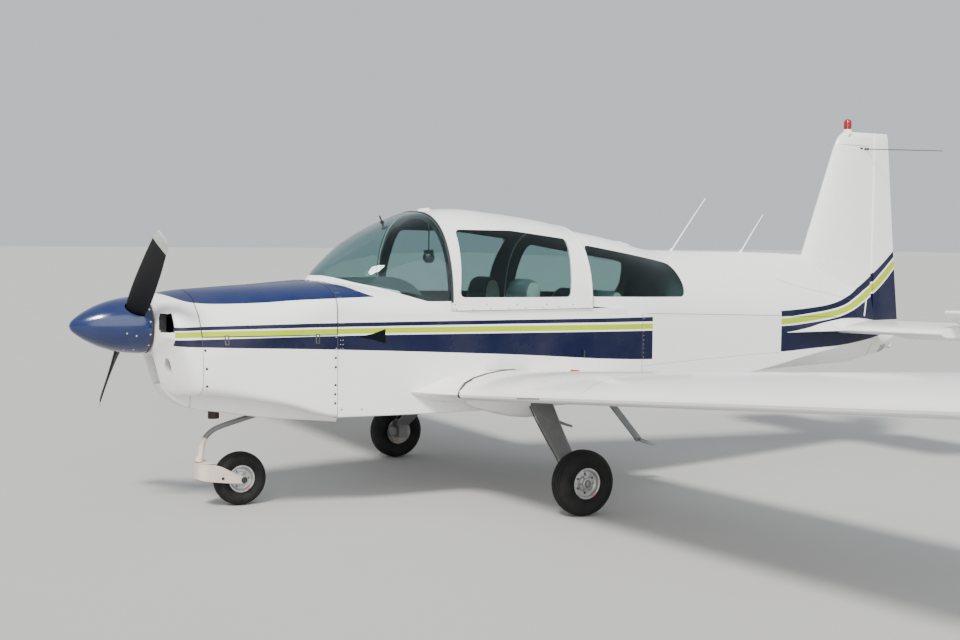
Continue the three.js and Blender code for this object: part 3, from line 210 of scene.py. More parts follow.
def cut(target, *tools, operation="DIFFERENCE"):
    for tool in tools:
        combine(target, tool, operation)
    return target


def within(target, *tools):
    return cut(target, *tools, operation="INTERSECT")


def joined(target, *tools):
    return cut(target, *tools, operation="UNION")


def copy_of(made, name):
    twin = made.copy()
    twin.data = made.data.copy()
    twin.name = name
    bpy.context.collection.objects.link(twin)
    return twin


# The same piece on the other side of the plane of symmetry.
def mirror_of(made, name):
    twin = copy_of(made, name)
    for vertex in twin.data.vertices:
        vertex.co.y = -vertex.co.y
    twin.data.flip_normals()
    return twin


def paint(made, material):
    made.data.materials.clear()
    made.data.materials.append(material)


# Gives a piece its material and body, and the CAD node that it stands for.
def fit(made, material, body="airframe", node=None):
    paint(made, material)
    shading = made.modifiers.new("shading", "WEIGHTED_NORMAL")
    shading.keep_sharp = True
    if node:
        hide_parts(node)
    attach(made, body)
    return made


# A port piece and its mirror image; the stems of its node and its body get each side's name.
def fit_both(made, material, node, body="airframe"):
    for each, side in ((mirror_of(made, f"{made.name}_starboard"), "starboard"), (made, "port")):
        fit(each, material, body.format(side=side), f"{node}_{side}")


# Wider than the body, for tools that cut right across it.
WIDE = (-900, 900)
FIREWALL_X = 1885
BODY_ROWS = [
    (1885, 520, 572, 600, 1203, 520, 1392, 2.8, 7),
    (1500, 540, 568, 594, 1196, 540, 1402, 2.3, 7),
    (1120, 550, 566, 591, 1190, 550, 1408, 2.2, 7),
    (600, 552, 566, 591, 1182, 540, 1500, 2.6, 7),
    (100, 537, 568, 595, 1174, 514, 1740, 2.5, 6),
    (-250, 512, 574, 603, 1168, 502, 1697, 2.4, 5),
    (-400, 497, 578, 612, 1165, 494, 1670, 2.3, 4),
    (-820, 438, 595, 642, 1150, 438, 1592, 2.0, 2.4),
    (-1600, 322, 655, 715, 1120, 322, 1583, 1.5, 1.25),
    (-2250, 212, 689, 806, 1090, 212, 1563, 1.35, 1.15),
    (-2800, 120, 707, 872, 1070, 120, 1420, 1.3, 1.15),
    (-3000, 88, 745, 890, 1060, 88, 1350, 1.3, 1.15),
]
body_at = stations_of(
    ("half", "keel", "edge", "seam", "top_half", "crown", "top_power", "belly_power"), BODY_ROWS
)
BELLY_STEPS = 12
TOP_STEPS = 24


# One ring of the body; inset moves it inwards, all round.
def body_ring(x, inset=0):
    body = body_at(x)
    half = body["half"] - inset
    side = []
    for i in range(BELLY_STEPS):
        y, z = quarter(half, body["edge"] - body["keel"] - inset, body["belly_power"], 1 - i / BELLY_STEPS)
        side.append((y, body["edge"] - z))
    for z in spread(body["edge"], body["seam"] - 1, 5):
        side.append((half, z))
    for i in range(TOP_STEPS + 1):
        rise = body["crown"] - body["seam"] - inset
        y, z = quarter(body["top_half"] - inset, rise, body["top_power"], i / TOP_STEPS)
        side.append((y, body["seam"] + z))
    return mirrored_ring(x, side)


# Stations from one end to the other, about as far apart as the step, the table's own rows among them.
def run(front, back, step, rows=BODY_ROWS):
    marks = {round(x) for x in spread(front, back, max(2, round((front - back) / step) + 1))}
    marks |= {row[0] for row in rows if back < row[0] < front}
    ordered = sorted(marks, reverse=True)
    kept = [ordered[0]]
    for x in ordered[1:]:
        if kept[-1] - x > 12:
            kept.append(x)
    kept[-1] = back
    return kept


def body_loft(front, back, inset=0, step=60, name="body"):
    return loft(name, [body_ring(x, inset) for x in run(front, back, step)])


# Everything below the seam line.
def below_seam(lower=0):
    seam = [(row[0], row[4]) for row in BODY_ROWS if row[0] != 600]
    top = [(x, z - lower) for x, z in seam]
    outline = [(2500, seam[0][1] - lower)] + top + [(-3500, seam[-1][1] - lower), (-3500, 0), (2500, 0)]
    return side_prism(outline, *WIDE)


SKIN_GAP = 0.3
TUB_REAR_X = -400
REAR_CABIN_FRONT_X = 100
REAR_CABIN_BACK_X = -900
TAIL_POST_X = -3000
TUB_WALL = 22
FLOOR_TOP_Z = 600
END_WALL = 14

tub_room = cut(
    body_loft(FIREWALL_X - END_WALL, TUB_REAR_X + END_WALL, TUB_WALL, 120),
    block((-900, 2500), WIDE, (0, FLOOR_TOP_Z)),
)
tub = cut(within(body_loft(FIREWALL_X, TUB_REAR_X, 0, 60, "tub"), below_seam(SKIN_GAP)), tub_room)

# The glass stands on a sill band, which belongs to the forward deck.
HOOD_ROWS = [
    (1872, 60, 1300, 1398, 2.1),
    (1835, 150, 1270, 1430, 2.1),
    (1756, 265, 1240, 1501, 2.15),
    (1576, 400, 1220, 1642, 2.25),
    (1448, 460, 1210, 1714, 2.35),
    (1330, 505, 1205, 1768, 2.4),
    (1120, 550, 1200, 1838, 2.5),
    (850, 563, 1198, 1860, 2.5),
    (580, 563, 1196, 1838, 2.5),
    (300, 556, 1195, 1806, 2.5),
    (50, 546, 1194, 1762, 2.5),
    (-50, 540, 1193, 1742, 2.5),
]
hood_at = stations_of(("half", "sill", "crown", "power"), HOOD_ROWS)
HOOD_STEPS = 28
HOOD_SKIRT = 150
CANOPY_FRONT_X = 1120
CANOPY_REAR_X = 50
DECK_THICK = 12
GLASS_THICK = 7
GLARESHIELD_X = 1430
# Foot of the windshield in side view, from its nose back to the canopy.
SCREEN_FOOT = [
    (1990, 1426), (1811, 1425), (1768, 1414), (1674, 1385), (1565, 1359), (1447, 1323), (1367, 1297),
    (1321, 1281), (1295, 1273), (1000, 1273),
]


def hood_ring(x, inset=0):
    hood = hood_at(x)
    half = max(hood["half"] - inset, 5)
    side = [(half, hood["sill"] - HOOD_SKIRT)]
    for i in range(HOOD_STEPS + 1):
        y, z = quarter(half, hood["crown"] - hood["sill"] - inset, hood["power"], i / HOOD_STEPS)
        side.append((y, hood["sill"] + z))
    return mirrored_ring(x, side, True)


def hood_loft(front, back, inset=0, step=45, name="hood"):
    return loft(name, [hood_ring(x, inset) for x in run(front, back, step, HOOD_ROWS)])


# Everything above, or below, the windshield's foot.
def above_foot(drop, level=2500):
    return side_prism([(x, z - drop) for x, z in SCREEN_FOOT] + [(1000, level), (1990, level)], *WIDE)


def below_foot(drop):
    return above_foot(drop, 900)


SCREEN_BACK_X = CANOPY_FRONT_X + 3


def inside_hood(inset):
    return hood_loft(1905, CANOPY_FRONT_X - 40, inset)


def ahead_of(x):
    return block((x, 3000), WIDE, (0, 3000))


def behind_glareshield():
    return block((0, GLARESHIELD_X), WIDE, (0, 3000))


def deck_room():
    return body_loft(FIREWALL_X + 50, CANOPY_FRONT_X - 50, DECK_THICK)


sill_band = within(
    cut(hood_loft(1872, CANOPY_FRONT_X), inside_hood(DECK_THICK), deck_room()),
    below_foot(SKIN_GAP),
    ahead_of(SCREEN_BACK_X),
)
deck = cut(
    joined(cut(body_loft(FIREWALL_X, CANOPY_FRONT_X, 0, 40, "deck"), deck_room()), sill_band),
    below_seam(),
    cut(within(inside_hood(-SKIN_GAP), above_foot(SKIN_GAP)), inside_hood(GLASS_THICK + SKIN_GAP)),
    within(inside_hood(DECK_THICK), behind_glareshield()),
    within(inside_hood(-SKIN_GAP), above_foot(SKIN_GAP), behind_glareshield()),
)

CANOPY_THICK = 14
REAR_WINDOW = {
    "corners": [
        (6, 1631), (-656, 1526), (-778, 1500), (-818, 1420), (-832, 1330), (-808, 1270), (-566, 1274),
        (36, 1285),
    ],
    "radius": 42,
}
CANOPY_WINDOW = {
    "corners": [(1022, 1722), (1060, 1296), (228, 1288), (205, 1480), (172, 1668), (600, 1719)],
    "radius": 34,
}


# The corners of an outline rounded by a radius, which short edges limit.
def rounded(corners, radius, steps=6):
    corners = [Vector(corner) for corner in corners]
    outline = []
    for i, corner in enumerate(corners):
        before, after = corners[i - 1] - corner, corners[(i + 1) % len(corners)] - corner
        reach = min(radius, 0.45 * before.length, 0.45 * after.length)
        start, end = corner + before.normalized() * reach, corner + after.normalized() * reach
        for t in spread(0, 1, steps):
            outline.append(tuple(start * (1 - t) ** 2 + corner * 2 * t * (1 - t) + end * t**2))
    return outline


# A window's outline with its corners rounded, moved in or out by a margin.
def window_outline(window, margin):
    corners = [Vector(corner) for corner in window["corners"]]
    middle = sum(corners, Vector((0, 0))) / len(corners)
    moved = [middle + (corner - middle) * (1 - margin / (corner - middle).length) for corner in corners]
    return rounded(moved, window["radius"], 7)


SHELF = {"front_x": -390, "bottom": 1170, "top": 1182}
rear_outer = body_loft(REAR_CABIN_FRONT_X, REAR_CABIN_BACK_X, 0, 50, "rear_cabin_skin")
rear_room = body_loft(REAR_CABIN_FRONT_X + 50, REAR_CABIN_BACK_X + CANOPY_THICK, CANOPY_THICK)
shelf = within(
    body_loft(REAR_CABIN_FRONT_X, REAR_CABIN_BACK_X, 1),
    block((REAR_CABIN_BACK_X, SHELF["front_x"]), WIDE, (SHELF["bottom"], SHELF["top"])),
)
rear_skin = cut(
    joined(cut(rear_outer, rear_room), shelf),
    below_seam(),
    side_prism(window_outline(REAR_WINDOW, 0), *WIDE),
)

ELEVATOR_HINGE = {"x": -2950, "y": 200, "z": 1008}
cone_skin = cut(
    body_loft(TUB_REAR_X - SKIN_GAP, TAIL_POST_X, 0, 60, "cone_skin"),
    body_loft(TUB_REAR_X + 60, -2550, END_WALL),
    cut(block((REAR_CABIN_BACK_X - SKIN_GAP, 2500), WIDE, (800, 2500)), below_seam(SKIN_GAP)),
)


# A node of a shader tree, with settings and the values of its named inputs.
def add_node(tree, kind, values=None, **settings):
    made = tree.nodes.new(kind)
    for name, value in settings.items():
        setattr(made, name, value)
    for name, value in (values or {}).items():
        made.inputs[name].default_value = value
    return made


def maths(tree, operation, first, second=None):
    made = add_node(tree, "ShaderNodeMath", operation=operation)
    for i, value in enumerate((first, second)):
        if isinstance(value, (int, float)):
            made.inputs[i].default_value = value
        elif value is not None:
            tree.links.new(value, made.inputs[i])
    return made.outputs[0]


# Where a point lies on the object: its x, y and z as sockets.
def axes_of(tree):
    axes = add_node(tree, "ShaderNodeSeparateXYZ")
    tree.links.new(add_node(tree, "ShaderNodeTexCoord").outputs["Object"], axes.inputs[0])
    return axes.outputs


def blend_colors(tree, factor, first, second):
    made = add_node(tree, "ShaderNodeMix", data_type="RGBA")
    for label, value in (("Factor", factor), ("A", first), ("B", second)):
        if isinstance(value, tuple):
            made.inputs[label].default_value = value
        else:
            tree.links.new(value, made.inputs[label])
    return made.outputs["Result"]


# A group whose sockets are colours where a tuple stands, and numbers elsewhere.
def new_group(name, inputs, outputs):
    tree = bpy.data.node_groups.new(name, "ShaderNodeTree")
    for side, sockets in (("INPUT", inputs), ("OUTPUT", outputs)):
        for label, value in sockets.items():
            kind = "NodeSocketColor" if isinstance(value, tuple) else "NodeSocketFloat"
            socket = tree.interface.new_socket(label, in_out=side, socket_type=kind)
            if side == "INPUT":
                socket.default_value = value
    return tree, tree.nodes.new("NodeGroupInput"), tree.nodes.new("NodeGroupOutput")


# Patches of soil and fading on a colour, an uneven gloss, and a fine grain for the bump.
surface_group, entry, leave = new_group(
    "surface",
    {
        "Clean": (0.8, 0.8, 0.8, 1), "Soil": (0.3, 0.28, 0.25, 1), "Soil Amount": 0.1, "Patch Scale": 3,
        "Grain Scale": 300, "Gloss Low": 0.25, "Gloss High": 0.4,
    },
    {"Color": (), "Roughness": 0, "Height": 0},
)
place = add_node(surface_group, "ShaderNodeTexCoord")
patches = add_node(surface_group, "ShaderNodeTexNoise", {"Detail": 5, "Roughness": 0.6})
fine = add_node(surface_group, "ShaderNodeTexNoise", {"Detail": 2})
for noise, label in ((patches, "Patch Scale"), (fine, "Grain Scale")):
    surface_group.links.new(place.outputs["Object"], noise.inputs["Vector"])
    surface_group.links.new(entry.outputs[label], noise.inputs["Scale"])
soiled = add_node(surface_group, "ShaderNodeMapRange", {"From Min": 0.42, "From Max": 0.75})
surface_group.links.new(patches.outputs[0], soiled.inputs["Value"])
soil_share = maths(surface_group, "MULTIPLY", soiled.outputs[0], entry.outputs["Soil Amount"])
gloss = add_node(surface_group, "ShaderNodeMapRange", {"From Min": 0.3, "From Max": 0.7})
soiled_color = blend_colors(surface_group, soil_share, entry.outputs["Clean"], entry.outputs["Soil"])
for output, socket in (
    (patches.outputs[0], gloss.inputs["Value"]), (entry.outputs["Gloss Low"], gloss.inputs["To Min"]),
    (entry.outputs["Gloss High"], gloss.inputs["To Max"]), (soiled_color, leave.inputs["Color"]),
    (gloss.outputs[0], leave.inputs["Roughness"]), (fine.outputs[0], leave.inputs["Height"]),
):
    surface_group.links.new(output, socket)


# A finished material: the colour with its soil, uneven gloss and fine grain.
def finish_of(name, color, soil=(0.3, 0.28, 0.25), amount=0.1, patch=3, grain=300, gloss_range=(0.25, 0.4),
              bump=0.05, depth=0.0005, metallic=0.0, coat=0.0, specular=0.5):
    material = bpy.data.materials.new(name)
    material.use_nodes = True
    tree = material.node_tree
    shader = tree.nodes["Principled BSDF"]
    surface = add_node(tree, "ShaderNodeGroup", node_tree=surface_group)
    surface.name = "surface"
    relief = add_node(tree, "ShaderNodeBump", {"Strength": bump, "Distance": depth})
    for node, settings in (
        (surface, {
            "Clean": (*color, 1), "Soil": (*soil, 1), "Soil Amount": amount, "Patch Scale": patch,
            "Grain Scale": grain, "Gloss Low": gloss_range[0], "Gloss High": gloss_range[1],
        }),
        (shader, {
            "Metallic": metallic, "Coat Weight": coat, "Coat Roughness": 0.08, "Specular IOR Level": specular,
        }),
    ):
        for label, value in settings.items():
            node.inputs[label].default_value = value
    tree.links.new(surface.outputs["Color"], shader.inputs["Base Color"])
    tree.links.new(surface.outputs["Roughness"], shader.inputs["Roughness"])
    tree.links.new(surface.outputs["Height"], relief.inputs["Height"])
    tree.links.new(relief.outputs["Normal"], shader.inputs["Normal"])
    return material


# Gives a finished material two colours, parted by a mask.
def two_tone(material, mask, first, second):
    tree = material.node_tree
    tree.links.new(blend_colors(tree, mask, (*first, 1), (*second, 1)), tree.nodes["surface"].inputs["Clean"])


WHITE = (0.87, 0.86, 0.84)
NAVY = (0.001, 0.004, 0.028)
LIME = (0.40, 0.52, 0.0)
BLUE = (0.001, 0.012, 0.075)
# Edges of the painted bands in side view: (x, z) in metres, from the nose back to the rudder.
BAND_EDGES = {
    "upper_top": [
        (2.85, 1.138), (1.87, 1.152), (0.77, 1.148), (-0.5, 1.139), (-1.85, 1.145), (-2.23, 1.160),
        (-2.457, 1.180), (-2.70, 1.237), (-2.85, 1.304), (-2.98, 1.381), (-3.14, 1.484), (-3.28, 1.586),
    ],
    "upper_bottom": [
        (2.85, 1.118), (1.87, 1.127), (0.77, 1.122), (-0.5, 1.108), (-1.85, 1.101), (-2.23, 1.120),
        (-2.457, 1.140), (-2.62, 1.166), (-2.79, 1.224), (-2.98, 1.312), (-3.14, 1.425), (-3.30, 1.548),
    ],
    "lime_top": [
        (2.85, 1.111), (1.87, 1.117), (0.77, 1.109), (-0.5, 1.093), (-1.85, 1.087), (-2.23, 1.108),
        (-2.457, 1.127), (-2.62, 1.152), (-2.79, 1.208), (-2.98, 1.295), (-3.14, 1.404), (-3.29, 1.522),
    ],
    "lime_bottom": [
        (2.85, 1.079), (1.87, 1.085), (0.77, 1.074), (-0.5, 1.057), (-1.85, 1.044), (-2.23, 1.061),
        (-2.524, 1.090), (-2.685, 1.123), (-2.875, 1.190), (-3.036, 1.266), (-3.15, 1.340), (-3.29, 1.453),
    ],
    "lower_top": [
        (2.85, 1.066), (1.87, 1.074), (0.77, 1.064), (-0.5, 1.045), (-1.85, 1.031), (-2.23, 1.048),
        (-2.524, 1.077), (-2.685, 1.110), (-2.875, 1.177), (-3.036, 1.250), (-3.15, 1.322), (-3.29, 1.436),
    ],
    "lower_bottom": [
        (2.85, 1.030), (2.77, 1.026), (1.87, 0.990), (0.77, 0.930), (-0.5, 0.847), (-1.85, 0.839),
        (-2.23, 0.848), (-2.61, 0.859), (-2.83, 0.879), (-3.03, 0.905), (-3.30, 0.95),
    ],
    "cap_bottom": [
        (2.86, 1.345), (2.83, 1.318), (2.79, 1.297), (2.74, 1.280), (2.686, 1.272), (2.58, 1.267),
        (2.335, 1.273), (2.10, 1.289), (1.86, 1.299), (1.557, 1.306),
    ],
}
BAND_X = (-3.4, 3.0)
BAND_Z = (0.7, 1.7)


# Bands run along the sides in front and stop under the rear window; they start again on the tail cone
# and sweep up the fin. The blue cap covers the cowl's top and ends in a point beside the windshield.
livery_group, entry, leave = new_group("livery", {"Ground": (*WHITE, 1)}, {"Color": ()})
along, across, height = axes_of(livery_group)
share = add_node(livery_group, "ShaderNodeMapRange", {"From Min": BAND_X[0], "From Max": BAND_X[1]})
livery_group.links.new(along, share.inputs["Value"])


def band_maths(operation, first, second=None):
    return maths(livery_group, operation, first, second)


# Height of a band's edge at each place along the aircraft, as a socket in metres.
def edge_height(points, low=BAND_Z[0], high=BAND_Z[1]):
    curve = add_node(livery_group, "ShaderNodeFloatCurve")
    line = curve.mapping.curves[0]
    placed = sorted(
        ((x - BAND_X[0]) / (BAND_X[1] - BAND_X[0]), (value - low) / (high - low)) for x, value in points
    )
    while len(line.points) < len(placed):
        line.points.new(0.5, 0.5)
    for point, (x, value) in zip(line.points, placed):
        point.location = (x, value)
        point.handle_type = "AUTO_CLAMPED"
    curve.mapping.update()
    livery_group.links.new(share.outputs[0], curve.inputs["Value"])
    return band_maths("ADD", band_maths("MULTIPLY", curve.outputs[0], high - low), low)


edges = {name: edge_height(points) for name, points in BAND_EDGES.items()}

BAND_FRONT_X = 2.846
BAND_BREAK = (-0.498, -1.852)
CAP_BACK_X = 1.555
# How far out the blue cap begins beside the windshield: (x, y) in metres.
CAP_INNER = [
    (3.0, 0.0), (1.95, 0.0), (1.885, 0.0), (1.835, 0.257), (1.769, 0.353), (1.7, 0.441), (1.612, 0.488),
    (1.557, 0.503), (1.50, 0.6),
]
behind_nose = band_maths("LESS_THAN", along, BAND_FRONT_X)
front_run = band_maths("MULTIPLY", behind_nose, band_maths("GREATER_THAN", along, BAND_BREAK[0]))
banded = band_maths("ADD", front_run, band_maths("LESS_THAN", along, BAND_BREAK[1]))
aside = band_maths("ADD", band_maths("ABSOLUTE", across), 0.001)
high_enough = band_maths("GREATER_THAN", height, edges["cap_bottom"])
cap = band_maths("MULTIPLY", high_enough, band_maths("GREATER_THAN", along, CAP_BACK_X))
cap = band_maths("MULTIPLY", cap, band_maths("GREATER_THAN", aside, edge_height(CAP_INNER, 0.0, 1.0)))
color = entry.outputs["Ground"]
for name, tint in (("upper", NAVY), ("lime", LIME), ("lower", NAVY)):
    under = band_maths("LESS_THAN", height, edges[f"{name}_top"])
    over = band_maths("GREATER_THAN", height, edges[f"{name}_bottom"])
    mask = band_maths("MULTIPLY", band_maths("MULTIPLY", under, over), banded)
    color = blend_colors(livery_group, mask, color, (*tint, 1))
color = blend_colors(livery_group, cap, color, (*BLUE, 1))
livery_group.links.new(color, leave.inputs["Color"])

GREY_SOIL = (0.55, 0.52, 0.46)
white_paint = finish_of("white_paint", WHITE, GREY_SOIL, 0.22, 1.7, 900, (0.16, 0.30), 0.04, 0.0002, coat=0.2)
livery_paint = finish_of(
    "livery_paint", WHITE, GREY_SOIL, 0.04, 1.7, 900, (0.2, 0.34), 0.04, 0.0002, specular=0.22
)
tree = livery_paint.node_tree
bands = add_node(tree, "ShaderNodeGroup", node_tree=livery_group)
bands.inputs["Ground"].default_value = (*WHITE, 1)
tree.links.new(bands.outputs["Color"], tree.nodes["surface"].inputs["Clean"])

for made, slot, node in (
    (tub, "white_metal", "cabin_tub"), (deck, "white_metal", "forward_deck"),
    (rear_skin, "white_metal", "rear_cabin"), (cone_skin, "white_paint", "tail_cone"),
):
    fit(made, livery_paint, node=node)


# Glass and sliding canopy
# Blown acrylic, tinted blue-green: one sheet for the windshield, one pane each side of the canopy and of
# the rear cabin. The canopy is one white moulded shell that runs aft on rails.

# Tinted sheet that lets the light through to the cabin.
tinted = bpy.data.materials.new("tinted_acrylic")
tinted.use_nodes = True
tree = tinted.node_tree
shader = tree.nodes["Principled BSDF"]
shader.inputs["Transmission Weight"].default_value = 1.0
shader.inputs["IOR"].default_value = 1.25
surface = add_node(tree, "ShaderNodeGroup", {
    "Clean": (0.44, 0.58, 0.58, 1), "Soil": (0.40, 0.52, 0.52, 1), "Soil Amount": 0.25, "Patch Scale": 2.0,
    "Grain Scale": 400, "Gloss Low": 0.0, "Gloss High": 0.02,
}, node_tree=surface_group)
clear = add_node(tree, "ShaderNodeBsdfTransparent", {"Color": (0.60, 0.73, 0.72, 1)})
rays = add_node(tree, "ShaderNodeLightPath")
choice = add_node(tree, "ShaderNodeMixShader")
for output, socket in (
    (surface.outputs["Color"], shader.inputs["Base Color"]),
    (surface.outputs["Roughness"], shader.inputs["Roughness"]),
    (rays.outputs["Is Shadow Ray"], choice.inputs["Fac"]),
    (shader.outputs[0], choice.inputs[1]),
    (clear.outputs[0], choice.inputs[2]),
    (choice.outputs[0], tree.nodes["Material Output"].inputs["Surface"]),
):
    tree.links.new(output, socket)

screen = within(
    cut(hood_loft(1872, CANOPY_FRONT_X, 0, 40, "windshield_sheet"), inside_hood(GLASS_THICK)),
    above_foot(0),
    ahead_of(SCREEN_BACK_X),
)
fit(screen, tinted, node="windshield")

CANOPY_FOOT_Z = 1213
canopy = cut(
    within(
        cut(
            hood_loft(CANOPY_FRONT_X - 2, CANOPY_REAR_X, 0, 45, "canopy"),
            hood_loft(CANOPY_FRONT_X + 60, CANOPY_REAR_X - 60, CANOPY_THICK),
        ),
        block((-500, 1500), WIDE, (CANOPY_FOOT_Z, 2500)),
    ),
    side_prism(window_outline(CANOPY_WINDOW, 0), *WIDE),
)
fit(canopy, white_paint, "canopy", "canopy_shell")
for shell, inner, window, body, stem in (
    (
        hood_loft(CANOPY_FRONT_X - 2, CANOPY_REAR_X, 1.5, 45, "canopy_pane"),
        hood_loft(CANOPY_FRONT_X + 60, CANOPY_REAR_X - 60, GLASS_THICK),
        CANOPY_WINDOW, "canopy", "canopy_glass",
    ),
    (
        body_loft(REAR_CABIN_FRONT_X, REAR_CABIN_BACK_X, 1.5, 50, "rear_pane"),
        body_loft(REAR_CABIN_FRONT_X + 50, REAR_CABIN_BACK_X - 50, GLASS_THICK),
        REAR_WINDOW, "airframe", "rear_glass",
    ),
):
    pane = within(cut(shell, inner), side_prism(window_outline(window, 1), 20, 900))
    fit_both(pane, tinted, stem, body)

TRIM_BLACK = (0.018, 0.018, 0.019)
RAIL_TOP = 1.214
black_trim = finish_of("black_trim", TRIM_BLACK, (0.10, 0.10, 0.10), 0.3, 9, 500, (0.4, 0.6), 0.1)
# White rails, black hoop and slides above them.
rail_finish = finish_of("rail_finish", TRIM_BLACK, (0.3, 0.3, 0.3), 0.15, 9, 500, (0.3, 0.5), 0.1)
tree = rail_finish.node_tree
two_tone(rail_finish, maths(tree, "LESS_THAN", axes_of(tree)["Z"], RAIL_TOP), TRIM_BLACK, WHITE)
paint(cad["canopy_rails"], rail_finish)


# Engine cowling
# A moulded nose bowl with two cooling inlets and a scoop, two aluminium doors hinged along the top, and a
# lower cowl that carries the chin. Quarter-turn fasteners hold the seams and two latches each door.
COWL_ROWS = [
    (2895, 235, 1100, 1252, 2.1, 1085, 985, 1.3, 75, 975),
    (2882, 315, 1098, 1281, 2.1, 1080, 965, 1.1, 80, 950),
    (2862, 362, 1090, 1303, 2.15, 1075, 895, 1.0, 80, 882),
    (2830, 402, 1070, 1319, 2.2, 1050, 780, 1.15, 85, 765),
    (2780, 427, 1030, 1331, 2.25, 1000, 712, 1.7, 140, 692),
    (2700, 452, 900, 1341, 2.3, 898, 729, 4, 205, 642),
    (2500, 468, 960, 1354, 2.4, 850, 708, 5, 235, 608),
    (2200, 497, 1090, 1371, 2.6, 760, 655, 6, 262, 560),
    (1885, 520, 1203, 1392, 2.8, 640, 573, 6, 270, 528),
    (1780, 525, 1203, 1398, 2.8, 632, 568, 6, 270, 516),
]
cowl_at = stations_of(
    ("half", "shoulder", "crown", "top_power", "edge", "shelf", "side_power", "chin_half", "chin"), COWL_ROWS
)
CHIN_CORNER = 26
# Closer stations where the bowl's nose rounds over.
NOSE_STATIONS = (2895, 2890, 2882, 2873, 2862, 2847, 2830, 2806, 2780, 2750, 2725)
COWL_THICK = 9
COWL_REAR_X = 1780
COWL_CREASE = 55
BOWL_SEAM_X = 2700
# Ahead of everything but the propeller, for cuts that open the bowl forwards.
OPEN_X = 3000
THRUST_Z = 1135


def cowl_ring(x, inset=0):
    cowl = cowl_at(x)
    half, chin_half, chin = cowl["half"] - inset, cowl["chin_half"] - inset, cowl["chin"] + inset
    side = [(0, chin), ((chin_half - CHIN_CORNER) / 2, chin)]
    for t in spread(0, 1, 5):
        side.append((chin_half - CHIN_CORNER * (1 - t) ** 1.5, chin + CHIN_CORNER / 2 * t**1.5))
    inner = chin_half + CHIN_CORNER / 2
    for t in spread(0, 1, 18):
        across = math.sin(t * math.pi / 2)
        up_share = 1 - (1 - across ** cowl["side_power"]) ** (1 / cowl["side_power"])
        side.append((inner + across * (half - inner),
                     cowl["shelf"] + inset * (1 - across) + up_share * (cowl["edge"] - cowl["shelf"])))
    for t in spread(0, 1, TOP_STEPS + 1):
        y, z = quarter(half, cowl["crown"] - cowl["shoulder"] - inset, cowl["top_power"], t)
        side.append((y, cowl["shoulder"] + z))
    return mirrored_ring(x, side)


def cowl_loft(front, back, inset=0, step=35, name="cowl"):
    marks = run(min(front, BOWL_SEAM_X), back, step, COWL_ROWS)
    return loft(name, [cowl_ring(x, inset) for x in [x for x in NOSE_STATIONS if x <= front] + marks])


under_tub = within(
    cut(cowl_loft(2200, COWL_REAR_X), body_loft(FIREWALL_X, 1600, -SKIN_GAP)),
    block((1700, 2200), (-300, 300), (0, 620)),
)
ahead_of_tub = within(cowl_loft(2895, COWL_REAR_X, 0, 35, "cowl_skin"), ahead_of(FIREWALL_X + SKIN_GAP))
cowl_skin = cut(joined(ahead_of_tub, under_tub), cowl_loft(2882, COWL_REAR_X, COWL_THICK, 70))


# A round rod or tapered pin between two points, in millimetres.
def rod(start, end, radius, sides=24, end_radius=None, name="rod"):
    start, end = Vector(start), Vector(end)
    turn = (end - start).to_track_quat("Z", "Y")
    rings = []
    for centre, size in ((start, radius), (end, radius if end_radius is None else end_radius)):
        rings.append([tuple(centre + turn @ Vector((size * c, size * s, 0))) for c, s in around(sides)])
    return loft(name, rings)


# A front view outline of (y, z) points, extruded from x0 to x1.
def front_prism(points, x0, x1, name="prism"):
    return loft(name, [[(x, y, z) for y, z in points] for x in (x0, x1)])


# A front view outline turned over to the other side.
def flipped(outline):
    return [(-y, z) for y, z in outline]


inlet_outline = rounded([(222, 1104), (366, 1107), (374, 1190), (352, 1213), (222, 1213)], 12)
other_inlet = flipped(inlet_outline)
# Where each inlet wraps round onto the bowl's side.
MOUTH_BACK_X = 2845
side_mouth = rounded([(300, 1109), (520, 1109), (520, 1217), (300, 1217)], 10)
scoop_outline = rounded([(-70, 772), (70, 772), (70, 945), (48, 962), (-48, 962), (-70, 945)], 12)
DUCT = {"back": (2740, 195, 903), "front": (2960, 262, 893), "half_wide": 37, "half_high": 54, "wall": 4}


# The oval duct's bore, grown all round by a margin.
def duct_bore(grow):
    rings = []
    for x, y, z in (DUCT["back"], DUCT["front"]):
        wide, high = DUCT["half_wide"] + grow, DUCT["half_high"] + grow
        rings.append([(x, y + wide * c + 10 * s, z + high * s) for c, s in around(36)])
    return loft("duct_bore", rings)


bowl = cut(
    within(copy_of(cowl_skin, "bowl"), ahead_of(BOWL_SEAM_X)),
    *(front_prism(outline, MOUTH_BACK_X, OPEN_X) for outline in (inlet_outline, other_inlet)),
    rod((2750, 0, THRUST_Z), (OPEN_X, 0, THRUST_Z), 62, 40),
    front_prism(scoop_outline, 2790, OPEN_X),
    duct_bore(0),
    *(front_prism(outline, MOUTH_BACK_X, OPEN_X) for outline in (side_mouth, flipped(side_mouth))),
)
tidy(bowl, COWL_CREASE, weld=False)
fit(bowl, livery_paint, node="nose_bowl")

# Short moulded tunnels behind each opening.
inside_bowl = cowl_loft(2893, COWL_REAR_X, COWL_THICK - 1, 70, "tunnels")


def grown(outline, margin):
    middle = sum((Vector(point) for point in outline), Vector((0, 0))) / len(outline)
    return [tuple(Vector(point) + (Vector(point) - middle).normalized() * margin) for point in outline]


